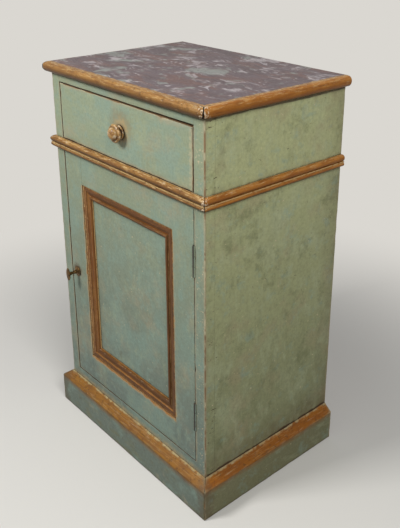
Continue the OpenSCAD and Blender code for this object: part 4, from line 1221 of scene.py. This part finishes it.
class CUPBOARD_OT_panel_moulding(bpy.types.Operator):
    """Four mitred lengths of moulding round the door's panel"""
    bl_idname = "cupboard.panel_moulding"
    bl_label = "Panel moulding"

    def execute(self, context):
        sizes = context.scene.cupboard_sizes
        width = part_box("panel_trim_left")[1].x - SIGHT_LOW.x
        rise = PANEL_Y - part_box("panel_trim_left")[0].y
        bead_in = width - sizes.trim_edge_w - sizes.trim_bead
        cove_end = (bead_in - sizes.trim_bead, sizes.trim_edge + 0.2 * MM)
        ease = 0.6 * MM
        nick = 0.3 * MM
        outline = [(0.0, 0.0), (0.0, rise - ease), (ease, rise), (sizes.trim_band - 1 * MM, rise)]
        for angle in (math.radians(degrees) for degrees in range(0, 91, 15)):
            outline.append((sizes.trim_band + (cove_end[0] - sizes.trim_band) * (1 - math.cos(angle)),
                            rise - (rise - cove_end[1]) * math.sin(angle)))
        outline += arc((bead_in, sizes.trim_edge + 1.1 * MM), sizes.trim_bead, 170, -20, 9)
        outline += [(width - nick, sizes.trim_edge), (width, sizes.trim_edge - nick), (width, 0.0)]
        wide = SIGHT_HIGH.x - SIGHT_LOW.x
        tall = SIGHT_HIGH.z - SIGHT_LOW.z

        def upright(edge_x, inwards):
            return lambda share, a, up: Vector(
                (edge_x + inwards * a, PANEL_Y - up, SIGHT_LOW.z + a + share * (tall - 2 * a)))

        def level(edge_z, inwards):
            return lambda share, a, up: Vector(
                (SIGHT_LOW.x + a + share * (wide - 2 * a), PANEL_Y - up, edge_z + inwards * a))

        for name, place, run, state in (
                ("panel_trim_left", upright(SIGHT_LOW.x, 1), tall, "Thin"),
                ("panel_trim_right", upright(SIGHT_HIGH.x, -1), tall, "Worn"),
                ("panel_trim_bottom", level(SIGHT_LOW.z, 1), wide, "Dirty"),
                ("panel_trim_top", level(SIGHT_HIGH.z, -1), wide, "Dirty")):
            swept(name, outline, place, run, (0.3, 0.3), finishes=[(red_gold_paint(state), any_face)])
        return {"FINISHED"}


class CUPBOARD_OT_latch(bpy.types.Operator):
    """Brass latch: rose, thumb plate on its spindle, tongue and nut"""
    bl_idname = "cupboard.latch"
    bl_label = "Latch"

    def execute(self, context):
        sizes = context.scene.cupboard_sizes
        stem_r = sizes.spindle
        rose_low, rose_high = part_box("latch_rose")
        rose_r = (rose_high.x - rose_low.x) / 2
        boss_out = FRONT_Y - rose_low.y
        boss_r = stem_r + 2.2 * MM
        lip = 0.8 * MM
        crown = 1 * MM
        outline = [(stem_r, 0.0), *arc((rose_r - lip, lip), lip, -90, 90, 6),
                   (rose_r - 2.2 * MM, 1.3 * MM), (boss_r + 1.5 * MM, 2.2 * MM),
                   *arc((boss_r - crown, boss_out - crown), crown, 0, 90, 5), (stem_r, boss_out)]
        rose = bmesh.new()
        turned(rose, outline, LATCH_FOOT, 0.12 * MM)
        shown(rose, "latch_rose_cast", "latch_rose", [aged_brass()])

        low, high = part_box("latch_handle")
        reach = FRONT_Y - low.y
        back = FRONT_Y - high.y
        tall = (high.z - low.z) / 2
        plate_in = reach - sizes.plate
        bead = 1.4 * MM
        edge = 0.9 * MM
        stem = [(0.0, back), (stem_r, back), (stem_r, boss_out + 2 * MM),
                *arc((stem_r, boss_out + 3.4 * MM), bead, -90, 90, 6),
                (stem_r - 0.3 * MM, boss_out + 6 * MM), (stem_r + 0.6 * MM, plate_in - 3 * MM),
                (stem_r + 2.2 * MM, plate_in + 0.4 * MM), (0.0, reach - sizes.plate / 2)]
        plate = [(0.0, plate_in), (0.6 * tall, plate_in + 0.2 * MM), (tall - 1.2 * MM, plate_in + 0.9 * MM),
                 *arc((tall - edge, reach - sizes.plate / 2), edge, -60, 60, 6),
                 (tall - 1.6 * MM, reach - 0.7 * MM), (0.6 * tall, reach - 0.2 * MM), (0.0, reach)]
        handle = bmesh.new()
        turned(handle, stem, LATCH_FOOT, 0.1 * MM)
        turned(handle, plate, LATCH_FOOT, 0.15 * MM, (high.x - low.x) / (high.z - low.z))
        shown(handle, "latch_handle_cast", "latch_handle", [aged_brass()])
        for name in ("latch_tongue", "latch_nut"):
            keep_node(name, aged_brass(), 0.4 * MM)
        return {"FINISHED"}


class CUPBOARD_OT_hinges(bpy.types.Operator):
    """Iron butt hinges, their pins and screws"""
    bl_idname = "cupboard.hinges"
    bl_label = "Hinges"

    def execute(self, context):
        for name in ("hinge_leaf_frame", "hinge_leaf_door"):
            keep_node(name, painted_iron())
        for name in ("hinge_pins", "hinge_screws_frame", "hinge_screws_door"):
            keep_node(name, rusted_iron())
        return {"FINISHED"}


class CUPBOARD_OT_bare_wood(bpy.types.Operator):
    """Boards and blocks that were never painted, and the nails of the back"""
    bl_idname = "cupboard.bare_wood"
    bl_label = "Bare wood"

    def execute(self, context):
        rounding = context.scene.cupboard_sizes.inner_round
        supports = [f"drawer_{kind}_{side}"
                    for kind in ("runner", "guide", "kicker") for side in ("left", "right")]
        for turn, names in (("x", ("floor_board", "dust_board", "drawer_stops", "door_stop_strip")),
                            ("y", supports), ("z", ("glue_blocks",))):
            for name in names:
                keep_node(name, aged_pine(turn), rounding)
        for side in ("left", "middle", "right"):
            worn_board(f"back_plank_{side}", (), (), (16, 16, 8), 0.3)
        keep_node("back_nails", rusted_iron(), 0.3 * MM)
        return {"FINISHED"}


# ---- Stage, light and camera ----

def seen_directly(tree):
    """Mask of what is seen straight or in a reflection, which leaves the object's own light alone."""
    ray = add(tree, "ShaderNodeLightPath").outputs
    seen = ray["Is Camera Ray"]
    for kind in ("Is Glossy Ray", "Is Transmission Ray"):
        seen = add(tree, MATH, {"operation": "MAXIMUM"}, {0: seen, 1: ray[kind]})
    return seen


def studio_floor():
    """Plain pale floor: matt near the cupboard, where it takes the shadow, an even backdrop further off."""
    coat = Coat("Matt studio floor", "floor_glow")
    coat.shader.inputs["Roughness"].default_value = 0.95
    coat.shader.inputs["Specular IOR Level"].default_value = 0.0
    seen = seen_directly(coat.tree)
    coat.lay("floor", seen)
    backdrop = coat.add("ShaderNodeEmission", {"Color": tone("floor"), "Strength": 1.0})
    away = coat.add("ShaderNodeVectorMath", {"operation": "LENGTH"}, {"Vector": coat.place})
    far = coat.add(RANGE, {"interpolation_type": "SMOOTHSTEP", "From Min": FLOOR_FADE[0],
                           "From Max": FLOOR_FADE[1]}, {"Value": away.outputs["Value"]})
    far = coat.add(MATH, {"operation": "MULTIPLY"}, {0: far, 1: seen})
    both = coat.add("ShaderNodeMixShader", links={0: far, 1: coat.shader.outputs[0], 2: backdrop})
    coat.tree.links.new(coat.colour.outputs[2], coat.shader.inputs["Base Color"])
    coat.tree.links.new(both.outputs[0], coat.tree.nodes["Material Output"].inputs["Surface"])
    return coat.material


class CUPBOARD_OT_stage(bpy.types.Operator):
    """Plain floor, soft light and the camera"""
    bl_idname = "cupboard.stage"
    bl_label = "Stage"

    def execute(self, context):
        scene = context.scene
        scene.view_settings.view_transform = "Standard"
        self.lay_floor(scene)
        world = bpy.data.worlds.new("Studio air")
        world.use_nodes = True
        tree = world.node_tree
        sky = laid_over(tree, AIR_LIGHT, "floor", seen_directly(tree))
        tree.links.new(sky.outputs[2], tree.nodes["Background"].inputs["Color"])
        scene.world = world
        for lamp in LAMPS:
            self.hang_lamp(scene, *lamp)
        self.place_camera(scene)
        return {"FINISHED"}

    def lay_floor(self, scene):
        """Wide disc just under the plinth."""
        disc = bmesh.new()
        bmesh.ops.create_circle(disc, cap_ends=True, segments=96, radius=FLOOR_RADIUS)
        data = bpy.data.meshes.new("studio_floor")
        disc.to_mesh(data)
        disc.free()
        data.materials.append(studio_floor())
        floor = bpy.data.objects.new("studio_floor", data)
        scene.collection.objects.link(floor)
        floor.location.z = -0.5 * MM

    def hang_lamp(self, scene, name, place, aim, size, power):
        """Soft square lamp turned towards a point."""
        light = bpy.data.lights.new(name, "AREA")
        light.shape = "SQUARE"
        light.size = size
        light.energy = power
        holder = bpy.data.objects.new(name, light)
        scene.collection.objects.link(holder)
        holder.location = place
        holder.rotation_euler = (Vector(aim) - Vector(place)).to_track_quat("-Z", "Y").to_euler()

    def place_camera(self, scene):
        """Camera where the photograph was taken from, with its view angle."""
        turn, tilt, roll = (math.radians(angle) for angle in CAMERA_ANGLES)
        forward = Vector((-math.sin(turn) * math.cos(tilt), math.cos(turn) * math.cos(tilt), -math.sin(tilt)))
        level = Vector((math.cos(turn), math.sin(turn), 0.0))
        steep = level.cross(forward)
        right = level * math.cos(roll) + steep * math.sin(roll)
        up = steep * math.cos(roll) - level * math.sin(roll)
        data = bpy.data.cameras.new("camera")
        data.lens = CAMERA_LENS
        data.shift_x, data.shift_y = CAMERA_SHIFT
        camera = bpy.data.objects.new("camera", data)
        scene.collection.objects.link(camera)
        axes = Matrix((right, up, -forward)).transposed().to_4x4()
        camera.matrix_world = Matrix.Translation(CAMERA_AT) @ axes
        scene.camera = camera


PIECES = (
    CUPBOARD_OT_top, CUPBOARD_OT_sides, CUPBOARD_OT_front_frame, CUPBOARD_OT_waist, CUPBOARD_OT_plinth,
    CUPBOARD_OT_drawer, CUPBOARD_OT_knob, CUPBOARD_OT_door, CUPBOARD_OT_panel_moulding, CUPBOARD_OT_latch,
    CUPBOARD_OT_hinges, CUPBOARD_OT_bare_wood, CUPBOARD_OT_stage)


class CUPBOARD_PT_pieces(bpy.types.Panel):
    """Lists the pieces of the cupboard"""
    bl_idname = "CUPBOARD_PT_pieces"
    bl_label = "Bedside pot cupboard"
    bl_space_type = "VIEW_3D"
    bl_region_type = "UI"
    bl_category = "Cupboard"

    def draw(self, context):
        for piece in PIECES:
            self.layout.operator(piece.bl_idname)
        for group in (context.scene.cupboard_colours, context.scene.cupboard_sizes):
            box = self.layout.box()
            for name in group.__annotations__:
                box.prop(group, name)


CLASSES = (CupboardColours, CupboardSizes, *PIECES, CUPBOARD_PT_pieces)


def register():
    for each in CLASSES:
        bpy.utils.register_class(each)
    bpy.types.Scene.cupboard_colours = bpy.props.PointerProperty(type=CupboardColours)
    bpy.types.Scene.cupboard_sizes = bpy.props.PointerProperty(type=CupboardSizes)


def unregister():
    del bpy.types.Scene.cupboard_sizes
    del bpy.types.Scene.cupboard_colours
    for each in reversed(CLASSES):
        bpy.utils.unregister_class(each)


def main():
    """Builds every piece and the stage."""
    register()
    for piece in PIECES:
        getattr(bpy.ops.cupboard, piece.bl_idname.split(".")[1])()


if __name__ == "__main__":
    main()
